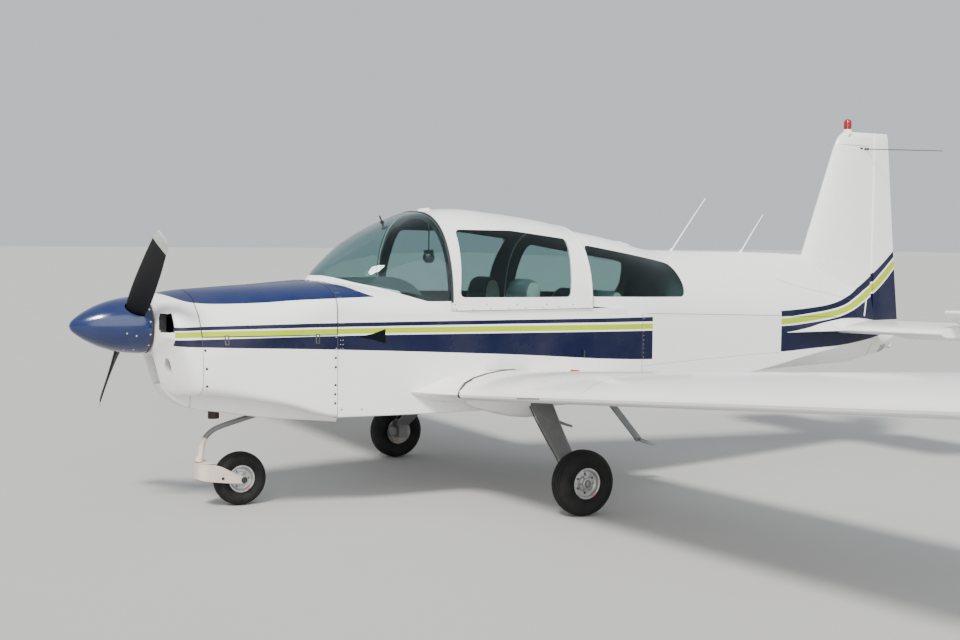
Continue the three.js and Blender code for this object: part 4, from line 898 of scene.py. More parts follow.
# Columns: outline, back end of its tunnel, back end of the way through it.
OPENINGS = [(inlet_outline, 2846, 2780), (other_inlet, 2846, 2780), (scoop_outline, 2740, 2745)]
TUNNEL_FRONT_X = 2990
TUNNEL_WALL = 5
walls = [front_prism(grown(o, TUNNEL_WALL), x, TUNNEL_FRONT_X, "tunnels") for o, x, _ in OPENINGS]
duct_wall = within(duct_bore(DUCT["wall"]), block((2805, TUNNEL_FRONT_X), (0, 600), (600, 1100)))
ways = [front_prism(outline, back, OPEN_X) for outline, _, back in OPENINGS]
tunnels = cut(joined(*walls, duct_wall), *ways, duct_bore(0))
fit(within(tunnels, inside_bowl), white_paint)
# The faces above 1.09 m, inside the two cooling inlets, take the black finish as painted shade deep in the
# inlets.
tunnels.data.materials.append(black_trim)
for face in tunnels.data.polygons:
    if face.center.z > 1.09:
        face.material_index = 1

DOOR_FOOT_Z = 1078
DOOR_GAP = 6
main_skin = within(cowl_skin, block((1700, BOWL_SEAM_X - SKIN_GAP), WIDE, (0, 3000)))
door = within(
    copy_of(main_skin, "cowl_door_skin"),
    block((FIREWALL_X + DOOR_GAP, BOWL_SEAM_X - DOOR_GAP), (DOOR_GAP, 900), (DOOR_FOOT_Z + DOOR_GAP, 2000)),
)
tidy(door, COWL_CREASE, weld=False)
fit_both(door, livery_paint, "cowl_door", "door_{side}")
LEG_SLOT = ((1960, 2330), (-36, 36), (400, 700))
EXHAUST = {"x": 2430, "y": -150, "radius": 35, "bottom": 527, "top": 880, "wall": 3}
lower_cowl = cut(
    within(main_skin, block((1700, 3000), WIDE, (0, DOOR_FOOT_Z))),
    block(*LEG_SLOT),
    rod((EXHAUST["x"], EXHAUST["y"], 450), (EXHAUST["x"], EXHAUST["y"], 700), EXHAUST["radius"] + 12, 32),
)
lower_cowl.name = "lower_cowl_skin"
tidy(lower_cowl, COWL_CREASE, weld=False)
fit(lower_cowl, livery_paint, node="lower_cowl")


# A body turned about an axis: profile of (radius, distance along the axis) pairs in millimetres.
def spun(name, profile, centre, axis, sides=48, smooth=32):
    turn = Vector(axis).to_track_quat("Z", "Y")
    centre = Vector(centre)
    points = []
    for c, s in around(sides):
        for radius, along in profile:
            points.append(tuple(centre + turn @ Vector((radius * c, radius * s, along))))
    count = len(profile)
    faces = []
    for i in range(sides):
        for j in range(count):
            a, b = i * count + j, i * count + (j + 1) % count
            c, d = ((i + 1) % sides) * count + (j + 1) % count, ((i + 1) % sides) * count + j
            faces.append((a, b, c, d))
    return piece(name, points, faces, smooth)


# Points turned by degrees about an axis through a centre.
def turned_about(made, centre, axis, degrees):
    centre = Vector(centre) * MM
    turn = Quaternion(axis, math.radians(degrees))
    for vertex in made.data.vertices:
        vertex.co = turn @ (vertex.co - centre) + centre
    return made


# Engine and exhaust
# A flat four-cylinder engine shows only as dark metal through the inlets. One welded tailpipe comes out
# of the chin on the starboard side.
engine_metal = finish_of(
    "engine_metal", (0.10, 0.10, 0.105), (0.03, 0.028, 0.025), 0.6, 14, 260, (0.35, 0.6), 0.3, metallic=0.6
)
paint(cad["engine_block"], engine_metal)
burnt_steel = finish_of(
    "burnt_steel", (0.035, 0.030, 0.027), (0.12, 0.08, 0.05), 0.7, 22, 420, (0.45, 0.7), 0.3, metallic=0.5
)
pipe_long = EXHAUST["top"] - EXHAUST["bottom"]
pipe_bore = EXHAUST["radius"] - EXHAUST["wall"]
pipe = spun(
    "tailpipe",
    [(EXHAUST["radius"], 0), (EXHAUST["radius"], pipe_long), (pipe_bore, pipe_long), (pipe_bore, 0)],
    (EXHAUST["x"], EXHAUST["y"], EXHAUST["bottom"]), (0, 0, 1), 40,
)
fit(pipe, burnt_steel, node="exhaust_pipe")


# Propeller and spinner
# Two forged blades, painted matt black with pale grey tips, bolted to the flange behind a spun aluminium
# spinner, which is painted blue and screwed to its back plate.
PROP = {"x": 3005, "radius": 853, "lean": 51.5}
# Columns: radius, chord, thickness, pitch in degrees.
BLADE = [
    (45, 70, 56, 62),
    (130, 112, 34, 47),
    (250, 146, 22, 38),
    (400, 158, 16, 31),
    (580, 154, 12, 26),
    (730, 140, 9, 22),
    (820, 124, 7, 20),
    (846, 108, 6, 19),
    (853, 84, 5, 19),
]
BLADE_AXIS = 0.45
BLADE_SIDE = [0, 0.02, 0.08, 0.18, 0.3, 0.45, 0.6, 0.75, 0.9, 1]


def blade_ring(radius, widened=0):
    chord, thick, pitch = (at(BLADE, column, radius) for column in (1, 2, 3))
    chord, thick, turn = chord + widened, thick + widened, math.radians(pitch)
    front = [((BLADE_AXIS - s) * chord, thick * 2.2 * math.sqrt(s) * (1 - s) + 1) for s in BLADE_SIDE]
    back = [((BLADE_AXIS - s) * chord, -2 - 0.1 * thick) for s in BLADE_SIDE[1:-1]]
    outline = front + [((BLADE_AXIS - 1) * chord, -1)] + back[::-1] + [(BLADE_AXIS * chord, -1)]
    return [
        (out * math.cos(turn) + along * math.sin(turn), out * math.sin(turn) - along * math.cos(turn), radius)
        for along, out in outline
    ]


# A blade pointing up at the hub, then leaned over in the propeller's disc.
def set_blade(made, degrees):
    turned_about(made, (0, 0, 0), (1, 0, 0), -degrees)
    for vertex in made.data.vertices:
        vertex.co += Vector((PROP["x"], 0, THRUST_Z)) * MM
    return made


blade_stations = spread(45, 800, 22) + [812, 824, 834, 842, 847, 850.5, 852.5, 853]
airscrew = joined(
    set_blade(loft("airscrew", [blade_ring(radius) for radius in blade_stations], 40), PROP["lean"]),
    set_blade(loft("blade", [blade_ring(radius) for radius in blade_stations], 40), PROP["lean"] + 180),
    rod((2945, 0, THRUST_Z), (3060, 0, THRUST_Z), 78, 40),
    rod((2772, 0, THRUST_Z), (2946, 0, THRUST_Z), 48, 32),
)
BLADE_BLACK = (0.004, 0.004, 0.005)
TIP_GREY = (0.52, 0.52, 0.50)
TIP_BAND = 0.772
blade_paint = finish_of(
    "blade_paint", BLADE_BLACK, (0.02, 0.02, 0.019), 0.3, 6, 700, (0.5, 0.68), 0.08, 0.0003, specular=0.25
)
tree = blade_paint.node_tree
offset = add_node(tree, "ShaderNodeVectorMath", operation="SUBTRACT")
offset.inputs[1].default_value = (PROP["x"] * MM, 0, THRUST_Z * MM)
tree.links.new(add_node(tree, "ShaderNodeTexCoord").outputs["Object"], offset.inputs[0])
reach = add_node(tree, "ShaderNodeVectorMath", operation="LENGTH")
tree.links.new(offset.outputs[0], reach.inputs[0])
two_tone(blade_paint, maths(tree, "GREATER_THAN", reach.outputs["Value"], TIP_BAND), BLADE_BLACK, TIP_GREY)
fit(airscrew, blade_paint, "airscrew", "propeller")

SPINNER_BACK_X = 2908
SPINNER_LENGTH = 3355 - SPINNER_BACK_X
# Columns: distance ahead of the back plate, radius.
SPINNER = [
    (0, 169), (40, 171), (110, 166), (190, 152), (275, 126), (350, 90), (390, 65), (420, 42), (438, 23),
    (447, 0),
]
SPINNER_SKIN = 4
PLATE = {"hole": 84, "thick": 5}


# Outline of the spinner's nose, from its rim to its tip; a margin moves it inwards.
def spinner_outline(margin):
    outline = []
    for turn in spread(0, math.pi / 2, 40):
        radius = at(SPINNER, 1, SPINNER_LENGTH * math.sin(turn)) - margin
        outline.append((max(radius, 0.1), (SPINNER_LENGTH - margin) * math.sin(turn)))
    return outline


outer = spinner_outline(0)
inner = [(radius, max(along, PLATE["thick"])) for radius, along in spinner_outline(SPINNER_SKIN)]
spinner = spun(
    "spinner_shell",
    [(PLATE["hole"], 0)] + outer + inner[::-1] + [(PLATE["hole"], PLATE["thick"])],
    (SPINNER_BACK_X, 0, THRUST_Z), (1, 0, 0), 72,
)
NOTCH = 16
for degrees in (PROP["lean"], PROP["lean"] + 180):
    notch = loft("notch", [blade_ring(radius, NOTCH) for radius in (45, 130, 190, 250)])
    cut(spinner, set_blade(notch, degrees))
blue_paint = finish_of(
    "blue_paint", BLUE, (0.05, 0.07, 0.15), 0.18, 5, 900, (0.14, 0.26), 0.03, 0.0002, coat=0.6
)
fit(spinner, blue_paint, "airscrew", "spinner")


# Wings
# Bonded aluminium wings of constant chord with set-down seams, a moulded cap at the tip and a swept glove
# at the root. Ailerons and flaps hang on a piano hinge each, and a black seal closes the glove's edge.
WING = {
    "lead_x": 1200, "chord": 1355, "root_z": 688, "root_y": 520, "dihedral": 5, "incidence": 1.6,
    "thick": 0.12, "camber": 0.045,
}
WING_RISE = math.tan(math.radians(WING["dihedral"]))
WING_PITCH = math.tan(math.radians(WING["incidence"]))
CAMBER_PEAK = 0.4
EDGE_HALF = 0.0012
WING_STATIONS = sorted([0.5 * (1 - math.cos(math.pi * i / 26)) for i in range(27)] + [0.755])


# Half thickness of a symmetric foil at a share s of its chord.
def foil_half(s, thick):
    rounded_part = 0.2969 * math.sqrt(s) - 0.126 * s - 0.3516 * s * s + 0.2843 * s**3 - 0.1015 * s**4
    return max(5 * thick * rounded_part, EDGE_HALF if s > 0 else 0)


def wing_lead_z(y):
    return WING["root_z"] + (y - WING["root_y"]) * WING_RISE


# Height of the wing's skin over its leading edge at a share s of the chord.
def wing_skin(s, upper, scale=1.0):
    ahead = (s / CAMBER_PEAK**2) * (2 * CAMBER_PEAK - s)
    behind = ((1 - s) / (1 - CAMBER_PEAK) ** 2) * (1 - 2 * CAMBER_PEAK + s)
    camber = ahead if s < CAMBER_PEAK else behind
    half = foil_half(s, WING["thick"]) * (1 if upper else -1)
    return WING["chord"] * ((camber * WING["camber"] + half) * scale - s * WING_PITCH)


def wing_ring(y, lead=0.0, scale=1.0, chord=WING["chord"], lift=0.0, grow=0.0):
    def point(s, upper):
        z = wing_lead_z(y) + lift + wing_skin(s, upper, scale) + (grow if upper else -grow)
        return WING["lead_x"] + lead - s * chord, y, z

    upper = [point(s, True) for s in WING_STATIONS]
    lower = [point(s, False) for s in WING_STATIONS[1:]]
    return upper + lower[::-1]


TIP_JOIN_Y = 4640
HINGE_S = 0.755
HINGE_X = WING["lead_x"] - HINGE_S * WING["chord"]
HINGE_TOP, HINGE_BOTTOM = wing_skin(HINGE_S, True), wing_skin(HINGE_S, False)
HINGE_NOSE = (HINGE_TOP - HINGE_BOTTOM) / 2
RUNNING_GAP = 7
FLAP_SPAN = (585, 2480)
AILERON_SPAN = (2500, 4560)


def hinge_z(y):
    return wing_lead_z(y) + (HINGE_TOP + HINGE_BOTTOM) / 2


def wing_blade(name):
    return loft(name, [wing_ring(y) for y in spread(480, TIP_JOIN_Y, 14)])


def control_surface(name, span):
    inner, outer = span[0] - 20, span[1] + 20
    barrel = rod((HINGE_X, inner, hinge_z(inner)), (HINGE_X, outer, hinge_z(outer)), HINGE_NOSE, 40)
    aft = block((-400, HINGE_X), (inner, outer), (0, 2000))
    return within(wing_blade(name), joined(aft, barrel), block((-400, 2000), span, (0, 2000)))


cove_x = HINGE_X + HINGE_NOSE + RUNNING_GAP
coves = []
for near, far in (FLAP_SPAN, AILERON_SPAN):
    coves.append(block((-400, cove_x), (near - RUNNING_GAP, far + RUNNING_GAP), (0, 2000)))
wing = cut(wing_blade("wing_skin"), body_loft(2200, -820, -SKIN_GAP), *coves)
fit_both(wing, white_paint, "wing")
for stem, span in (("aileron", AILERON_SPAN), ("flap", FLAP_SPAN)):
    fit_both(control_surface(f"{stem}_skin", span), white_paint, stem, stem + "_{side}")

# Columns: y, share of the chord, share of the thickness.
TIP_ROWS = [
    (4640.3, 1, 1), (4690, 0.99, 0.94), (4730, 0.975, 0.82), (4770, 0.94, 0.6), (4792, 0.905, 0.38),
    (4800, 0.885, 0.22),
]
TIP_STATIONS = (4640.3, 4665, 4690, 4710, 4730, 4750, 4768, 4782, 4792, 4798, 4800)


def tip_ring(y):
    share, scale = at(TIP_ROWS, 1, y), at(TIP_ROWS, 2, y)
    return wing_ring(y, -(1 - share) * 600, scale, WING["chord"] * share, (1 - scale) * 18)


fit_both(loft("wing_tip_skin", [tip_ring(y) for y in TIP_STATIONS]), white_paint, "wing_tip")

# Columns: y, how far the glove reaches ahead of the wing, its thickness.
GLOVE = [(480, 240, 1.12), (560, 196, 1.08), (640, 120, 1.04), (720, 48, 1.01), (795, 4, 1)]
GLOVE_RUN = 520
GLOVE_SKIN = 1.5


def glove_ring(y):
    ahead, scale = at(GLOVE, 1, y), at(GLOVE, 2, y)

    def point(s, upper):
        x = WING["lead_x"] + ahead - s * (ahead + GLOVE_RUN)
        share = max((WING["lead_x"] - x) / WING["chord"], s * 0.36)
        rounding = math.sqrt(min(s * 3.2, 1))
        skin = wing_skin(share, upper, scale) * rounding + (1 - rounding) * ahead * 0.12
        return x, y, wing_lead_z(y) + skin + GLOVE_SKIN * (1 if upper else -1)

    shares = [t**1.8 for t in spread(0, 1, 24)]
    return [point(s, True) for s in shares] + [point(s, False) for s in shares[1:]][::-1]


wing_room = loft("wing_room", [wing_ring(y, 1, 1.0, WING["chord"] + 2, 0, SKIN_GAP) for y in (380, 900)])
glove = cut(
    loft("root_glove_skin", [glove_ring(y) for y in spread(480, 795, 16)]),
    body_loft(2200, -820, -SKIN_GAP),
    wing_room,
)
fit_both(glove, white_paint, "root_glove")


# Fin and rudder
# A swept fin with a moulded cap that carries the red beacon, and a rudder hung on brackets behind the
# tail post. Both are smooth bonded skins, painted with the end of the side bands.
FIN_ROOT_Z = 1120
FIN_TOP_Z = 2432
CAP_TOP_Z = 2535
RUDDER = {"hinge_x": -3038, "foot_z": 1036, "barrel": 22}
FIN_SWEEP = 318 / 855
FIN_THICK = 150
FIN_TAPER = 0.045
RUDDER_TRAIL = [(1036, -3355), (1586, -3290), (2535, -3192)]
# Columns: z, setback of the leading edge, share of the full thickness.
FIN_CAP = [(FIN_TOP_Z, 0, 1), (CAP_TOP_Z - 45, 14, 0.9), (CAP_TOP_Z - 12, 42, 0.66), (CAP_TOP_Z, 80, 0.3)]
FIN_SIDE = sorted({0.5 * (1 - math.cos(math.pi * i / 24)) for i in range(25)})


def fin_ring(z, lead=None, trail=None, thickness=None):
    if lead is None:
        setback, share = (at(FIN_CAP, 1, z), at(FIN_CAP, 2, z)) if z > FIN_TOP_Z else (0, 1)
        lead = -2300 - (z - 1580) * FIN_SWEEP - setback
        trail = at(RUDDER_TRAIL, 1, z) + setback / 8
        thickness = (FIN_THICK - (z - FIN_ROOT_Z) * FIN_TAPER) * share
    chord = lead - trail
    port = [(lead - s * chord, thickness * foil_half(s, 1), z) for s in FIN_SIDE]
    return port + [(x, -y, z) for x, y, z in port[1:]][::-1]


fin_heights = spread(FIN_ROOT_Z, FIN_TOP_Z, 18)
fin_heights += [2450, 2470, CAP_TOP_Z - 45, 2502, 2513, CAP_TOP_Z - 12, 2529, 2533, CAP_TOP_Z]


def fin_blade(name):
    return loft(name, [fin_ring(z) for z in fin_heights])


NAV_ROD = {"x": -2907, "z": 2405, "radius": 11}
ahead_of_post = (TAIL_POST_X, -1500)
fin = cut(
    within(fin_blade("fin_skin"), block(ahead_of_post, WIDE, (1200, FIN_TOP_Z))),
    body_loft(-1600, TAIL_POST_X, -SKIN_GAP),
    rod((NAV_ROD["x"], -90, NAV_ROD["z"]), (NAV_ROD["x"], 90, NAV_ROD["z"]), NAV_ROD["radius"] + SKIN_GAP),
)
fit(fin, livery_paint, node="fin")
fin_cap = within(fin_blade("fin_cap_skin"), block(ahead_of_post, WIDE, (FIN_TOP_Z + SKIN_GAP, 3000)))
fit(fin_cap, white_paint, node="fin_cap")
rudder_foot = fin_ring(RUDDER["foot_z"], -2250, at(RUDDER_TRAIL, 1, RUDDER["foot_z"]), FIN_THICK)
rudder_barrel = rod(
    (RUDDER["hinge_x"], 0, RUDDER["foot_z"]), (RUDDER["hinge_x"], 0, CAP_TOP_Z + 5), RUDDER["barrel"], 32,
)
rudder = within(
    loft("rudder_skin", [rudder_foot] + [fin_ring(z) for z in fin_heights if z > 1300]),
    joined(block((-3400, RUDDER["hinge_x"]), WIDE, (RUDDER["foot_z"], 3000)), rudder_barrel),
)
fit(rudder, livery_paint, "rudder", "rudder")


# Tailplane and elevators
# Fixed tailplane halves with a strake at the root, and elevator halves on one tube, which hang drooped.
# The elevator's horn carries on past the tailplane's tip.
TAIL = {
    "lead_x": -2530, "chord": 800, "lead_z": 981, "rise": math.tan(math.radians(1.8)), "thick": 0.105,
    "tip_y": 1205, "slope": 51,
}
ELEVATOR = {"tip_y": 1345, "root_y": 150, "droop": 22, "barrel": 36, "tube": 20}


def tail_ring(y):
    lead_z = TAIL["lead_z"] + (y - ELEVATOR_HINGE["y"]) * TAIL["rise"]

    def point(s, side):
        half = side * TAIL["chord"] * foil_half(s, TAIL["thick"])
        return TAIL["lead_x"] - s * TAIL["chord"], y, lead_z + s * TAIL["slope"] + half

    return [point(s, 1) for s in FIN_SIDE] + [point(s, -1) for s in FIN_SIDE[1:]][::-1]


def tail_blade(name):
    return loft(name, [tail_ring(y) for y in spread(60, ELEVATOR["tip_y"], 6)])


# Columns: root y and z of the top, y and z of the outer edge, z of the underside at the root.
STRAKE = [
    (-1925, 262, 984, 268, 981, 978), (-2190, 219, 1013, 265, 981, 969), (-2330, 198, 1036, 265, 981, 961),
    (-2505, 169, 1056, 268, 981, 954), (-2630, 149, 1066, 300, 987, 952), (-2790, 124, 1064, 330, 997, 956),
    (-2900, 106, 1055, 345, 1004, 962), (-2985, 92, 1043, 350, 1009, 970),
]
strake_at = stations_of(("root_y", "top", "edge_y", "edge", "bottom"), STRAKE)


def strake_ring(x):
    row = strake_at(x)
    ring = [(x, 60, row["top"])]
    drop, inner, outer = row["top"] - row["edge"], row["root_y"], row["edge_y"]
    for t in spread(0, 1, 12):
        sag = 0.16 * math.sin(t * math.pi) * drop
        ring.append((x, inner + (outer - inner) * t, row["top"] + (2.5 - drop) * t - sag))
    return ring + [(x, outer + 2, row["edge"]), (x, outer, row["edge"] - 2.5), (x, 60, row["bottom"])]


tailplane_back = ELEVATOR_HINGE["x"] + ELEVATOR["barrel"] + RUNNING_GAP
tailplane = cut(
    joined(
        within(tail_blade("tailplane_skin"), block((tailplane_back, -2000), (60, TAIL["tip_y"]), (0, 2000))),
        loft("strake", [strake_ring(x) for x in spread(-1925, -2985, 40)], 40),
    ),
    body_loft(-1800, TAIL_POST_X - 60, -SKIN_GAP),
)
fit_both(tailplane, white_paint, "tailplane")


def elevator_rod(y0, y1, radius):
    ends = []
    for y in (y0, y1):
        ends.append((ELEVATOR_HINGE["x"], y, ELEVATOR_HINGE["z"] + (y - ELEVATOR_HINGE["y"]) * TAIL["rise"]))
    return rod(*ends, radius, 32)


half_span = (ELEVATOR["root_y"], ELEVATOR["tip_y"])
elevator = within(
    tail_blade("elevator_skin"),
    joined(
        block((-3400, ELEVATOR_HINGE["x"]), half_span, (0, 2000)),
        block((-3400, -2400), (TAIL["tip_y"] + 10, ELEVATOR["tip_y"]), (0, 2000)),
        within(elevator_rod(100, 1400, ELEVATOR["barrel"]), block((-3400, -2400), half_span, (0, 2000))),
    ),
)
turned_about(elevator, [ELEVATOR_HINGE[key] for key in "xyz"], (0, 1, TAIL["rise"]), -ELEVATOR["droop"])
joined(elevator, elevator_rod(3, ELEVATOR["root_y"] + 10, ELEVATOR["tube"]))
fit_both(elevator, white_paint, "elevator", "elevator_{side}")


# Seams, rivets and fasteners
# Laid on the finished skins by rays from the photo's viewpoint, then mirrored to the other side: lap seams
# with sealant in them, flush rivets, quarter-turn fasteners and screws.

# One search tree over several pieces.
def skin_of(*pieces):
    work = bmesh.new()
    for made in pieces:
        work.from_mesh(made.data)
    tree_found = BVHTree.FromBMesh(work)
    work.free()
    return tree_found


# Place and normal, in millimetres, where a ray meets the skin; None where it misses.
def hit(skin, origin, direction):
    found, normal, _, _ = skin.ray_cast(Vector(origin) * MM, Vector(direction).normalized())
    if found is None:
        return None
    return found / MM, -normal if normal.dot(Vector(direction)) > 0 else normal


def hit_side(skin, x, z):
    return hit(skin, (x, 900, z), (0, -1, 0))


def hit_top(skin, x, y=0):
    return hit(skin, (x, y, 2500), (0, 0, -1))


# The spot on the skin behind a pixel of the photo.
def behind_pixel(skin, pixel):
    across, down = ((value - middle) / LENS_PIXELS for value, middle in zip(pixel, PHOTO_MIDDLE))
    return hit(skin, Vector(CAMERA_PLACE) / MM, view + turned_right * across - turned_up * down)


def from_pixels(skin, pixels):
    return [found for found in (behind_pixel(skin, pixel) for pixel in pixels) if found]


# A run of spots between the given pixels, about as far apart as the step in pixels.
def along_pixels(skin, pixels, step=3.0):
    places = [Vector(pixels[0])]
    for start, end in zip(pixels, pixels[1:]):
        start, end = Vector(start), Vector(end)
        count = max(1, round((end - start).length / step))
        places += [start.lerp(end, i / count) for i in range(1, count + 1)]
    return from_pixels(skin, places)


def other_side(spots):
    return [(Vector((p.x, -p.y, p.z)), Vector((n.x, -n.y, n.z))) for p, n in spots]


# Joins several meshes' points and faces into one piece.
def gathered(name, parts, smooth=32):
    points, faces = [], []
    for part_points, part_faces in parts:
        faces += [tuple(i + len(points) for i in face) for face in part_faces]
        points += part_points
    return piece(name, points, faces, smooth)


# A narrow raised strip along spots on a skin.
def strip_mesh(spots, width, proud=0.4, sunk=1.5, ring=False):
    points, faces = [], []
    count = len(spots)
    for i, (place, normal) in enumerate(spots):
        before = spots[i - 1][0] if i or ring else place
        after = spots[(i + 1) % count][0] if i < count - 1 or ring else place
        side = (after - before).cross(normal).normalized() * (width / 2)
        for across, out in ((1, -sunk), (1, proud), (-1, proud), (-1, -sunk)):
            points.append(tuple(place + side * across + normal * out))
    for i in range(count if ring else count - 1):
        a, b = 4 * i, 4 * ((i + 1) % count)
        for j in range(4):
            faces.append((a + j, a + (j + 1) % 4, b + (j + 1) % 4, b + j))
    if not ring:
        faces += [(0, 1, 2, 3), (4 * count - 4, 4 * count - 3, 4 * count - 2, 4 * count - 1)]
    return points, faces


# A small solid on a skin: an outline repeated at levels of (height, share of its size), its top flat or
# fanned from a peak.
def stack_mesh(place, turn, outline, levels, peak=None):
    points, count = [], len(outline)
    for rise, share in levels:
        points += [tuple(place + turn @ Vector((a * share, b * share, rise))) for a, b in outline]
    faces = ring_faces(len(levels), count) + [tuple(range(count))[::-1]]
    last = count * (len(levels) - 1)
    if peak is None:
        return points, faces + [tuple(range(last, last + count))]
    points.append(tuple(place + turn @ Vector((0, 0, peak))))
    return points, faces + [(last + i, last + (i + 1) % count, last + count) for i in range(count)]


# A low domed head on a skin, with its foot a little below it.
def head_mesh(spot, radius, height, sides=12):
    place, normal = spot
    outline = [(radius * c, radius * s) for c, s in around(sides)]
    levels = ((-1.0, 1.0), (height * 0.45, 1.0), (height * 0.88, 0.72))
    return stack_mesh(place, normal.to_track_quat("Z", "Y"), outline, levels, height)


# The same heads, or the same strips, on both sides of the aircraft as one piece.
def heads_of(name, spots, radius, height, sides=12):
    return gathered(name, [head_mesh(s, radius, height, sides) for s in spots + other_side(spots)])


def strips_of(name, runs, width, proud=0.4):
    return gathered(name, [strip_mesh(s, width, proud) for run in runs for s in (run, other_side(run)) if s])


def spaced(first, last, step):
    return spread(first, last, max(2, round(abs(last - first) / step) + 1))


fuselage_skin = skin_of(tub, deck, rear_skin, cone_skin, lower_cowl, door, bowl)
sealant = finish_of("sealant", (0.07, 0.07, 0.075), (0.03, 0.03, 0.03), 0.6, 30, 500, (0.45, 0.65), 0.1)
white_rivets = finish_of(
    "white_rivets", (0.62, 0.61, 0.59), (0.35, 0.33, 0.30), 0.5, 30, 700, (0.25, 0.4), 0.05
)
steel_screws = finish_of(
    "steel_screws", (0.30, 0.30, 0.30), (0.08, 0.07, 0.06), 0.5, 40, 600, (0.3, 0.5), 0.1, metallic=0.9
)
dark_fasteners = finish_of(
    "dark_fasteners", (0.03, 0.03, 0.032), (0.14, 0.13, 0.12), 0.4, 60, 700, (0.35, 0.5), 0.1, metallic=0.5
)


# Spots round the fuselage at one station, from its section's outline.
def round_body(ring):
    centre = sum((Vector(point) for point in ring), Vector()) / len(ring)
    spots = []
    for i, point in enumerate(ring):
        run_on = Vector(ring[(i + 1) % len(ring)]) - Vector(ring[i - 1])
        normal = Vector((0, run_on.z, -run_on.y)).normalized()
        spots.append((Vector(point), -normal if normal.dot(Vector(point) - centre) < 0 else normal))
    return spots


seam_parts = [
    strip_mesh(round_body(body_ring(FIREWALL_X)), 2.6, ring=True),
    strip_mesh(round_body(cowl_ring(BOWL_SEAM_X)), 2.4, ring=True),
    strip_mesh([s for s in round_body(body_ring(TUB_REAR_X)) if s[0].z < 1170], 2.2),
]
seam_run = []
for x in spaced(1880, -2520, 55):
    level = body_at(x)["seam"] if x < 100 or x > 600 else 1174 + (x - 100) / 500 * 8
    seam_run.append(hit_side(fuselage_skin, x, level - 0.2))
# Lap seam from the fin's root down and aft over the tail cone, and one low on it, as pixels.
CONE_SEAM = [(776, 279), (790, 284), (806, 288.5), (822, 292), (838, 296), (852, 300)]
LOWER_SEAM = [(640.5, 366.5), (660, 363.8), (690, 360.5), (720, 357.6), (750, 354.6), (778, 352.4)]
for spots, width, proud in (
    ([spot for spot in seam_run if spot], 3.2, 0.4),
    (along_pixels(fuselage_skin, CONE_SEAM), 1.6, 0.3),
    (along_pixels(fuselage_skin, LOWER_SEAM), 1.6, 0.3),
):
    seam_parts += [strip_mesh(spots, width, proud), strip_mesh(other_side(spots), width, proud)]
fit(gathered("fuselage_seams", seam_parts), sealant)

# Flush rivets: two columns behind the firewall, one under the seam, a run on the tail cone.
rivet_places = [(x, z) for x in (FIREWALL_X - 18, FIREWALL_X - 34) for z in spaced(610, 1330, 26)]
rivet_places += [(x, 640) for x in spaced(1820, -380, 60)]
rivet_places += [(x, body_at(x)["seam"] - 14) for x in spaced(-430, -2300, 42)]
rivet_places += [(TUB_REAR_X - 14, z) for z in spaced(660, 1130, 30)]
rivet_spots = [hit_side(fuselage_skin, x, z) for x, z in rivet_places]
rivets = heads_of("skin_rivets", [spot for spot in rivet_spots if spot], 2.4, 0.7, 8)
fit(rivets, white_rivets)

# Quarter-turn fasteners of the cowl's seams, the screws by the latches and the screws of the nose bowl.
FASTENER_PIXELS = [
    (205.3, 350.6), (206.9, 369), (207.1, 386.5), (335.8, 357.9), (335.8, 367.1), (335.6, 385.1),
    (335.2, 394.3), (335.2, 403.3),
]
PALE_SCREW_PIXELS = [(336.3, 337), (336.5, 348.6), (341.8, 409.6), (361.8, 409.2)]
fasteners = heads_of("cowl_fasteners", from_pixels(fuselage_skin, FASTENER_PIXELS), 7.5, 2.2, 14)
fit(fasteners, dark_fasteners)
screws = heads_of("cowl_screws", from_pixels(fuselage_skin, PALE_SCREW_PIXELS), 5.5, 1.5)
fit(screws, steel_screws)


# A flat plate with rounded corners lying on a skin, its length along the aircraft.
def plate_mesh(spot, length, height, thick, radius, raised=0):
    place, normal = spot
    along_dir = (Vector((1, 0, 0)) - normal * normal.x).normalized()
    turn = Matrix((along_dir, normal.cross(along_dir), normal)).transposed()
    a, b = length / 2, height / 2
    outline = rounded([(-a, -b), (a, -b), (a, b), (-a, b)], radius, 5)
    levels = ((-1.5, 1.0), (thick * 0.7, 1.0), (thick, 0.93))
    return stack_mesh(place + normal * raised, turn, outline, levels)


def plates_of(name, spots, *sizes):
    return gathered(name, [plate_mesh(s, *sizes) for s in spots + other_side(spots)])


# Cowl latches: a slim lever in a frame, two on each door's foot.
latches = from_pixels(fuselage_skin, [(227.1, 340.5), (317.8, 338.8)])
for spots, side in ((latches, "port"), (other_side(latches), "starboard")):
    frames = gathered(f"latch_frames_{side}", [plate_mesh(s, 26, 58, 2.0, 4) for s in spots])
    fit(frames, sealant, f"door_{side}")
    levers = gathered(f"latch_levers_{side}", [plate_mesh(s, 11, 44, 4.0, 3, 1.5) for s in spots])
    fit(levers, livery_paint, f"door_{side}")

# Flush triangular intake on the cabin side, with its opening at the rear, and the round catch over it. The
# intake is a near-black plate on the skin, painted as the shade inside its recess.
intake_shade = finish_of(
    "intake_shade", (0.002, 0.003, 0.006), (0.006, 0.006, 0.008), 0.3, 30, 300, (0.7, 0.9), specular=0.1
)
INTAKE_PIXELS = [(357, 337.2), (386.2, 328.6), (386.2, 343.8)]
(tip_at, _), (top_at, outward), (bottom_at, _) = from_pixels(fuselage_skin, INTAKE_PIXELS)
waist = Vector((0, 0, 7))
base = [tip_at, tip_at.lerp(top_at, 0.55) - waist, top_at, bottom_at, tip_at.lerp(bottom_at, 0.55) + waist]
points = [tuple(p + outward * out) for out in (-1.5, 0.5) for p in base]
intake = piece("side_intake_port", points, ring_faces(2, 5) + [(4, 3, 2, 1, 0), (5, 6, 7, 8, 9)])
fit(intake, intake_shade)
fit(mirror_of(intake, "side_intake_starboard"), intake_shade)
lip = [(top_at.lerp(bottom_at, t), outward) for t in spread(-0.06, 1.06, 8)]
fit(strips_of("side_intake_lips", [lip], 9, 2.2), livery_paint)
catch = from_pixels(fuselage_skin, [(359.5, 323.6)])
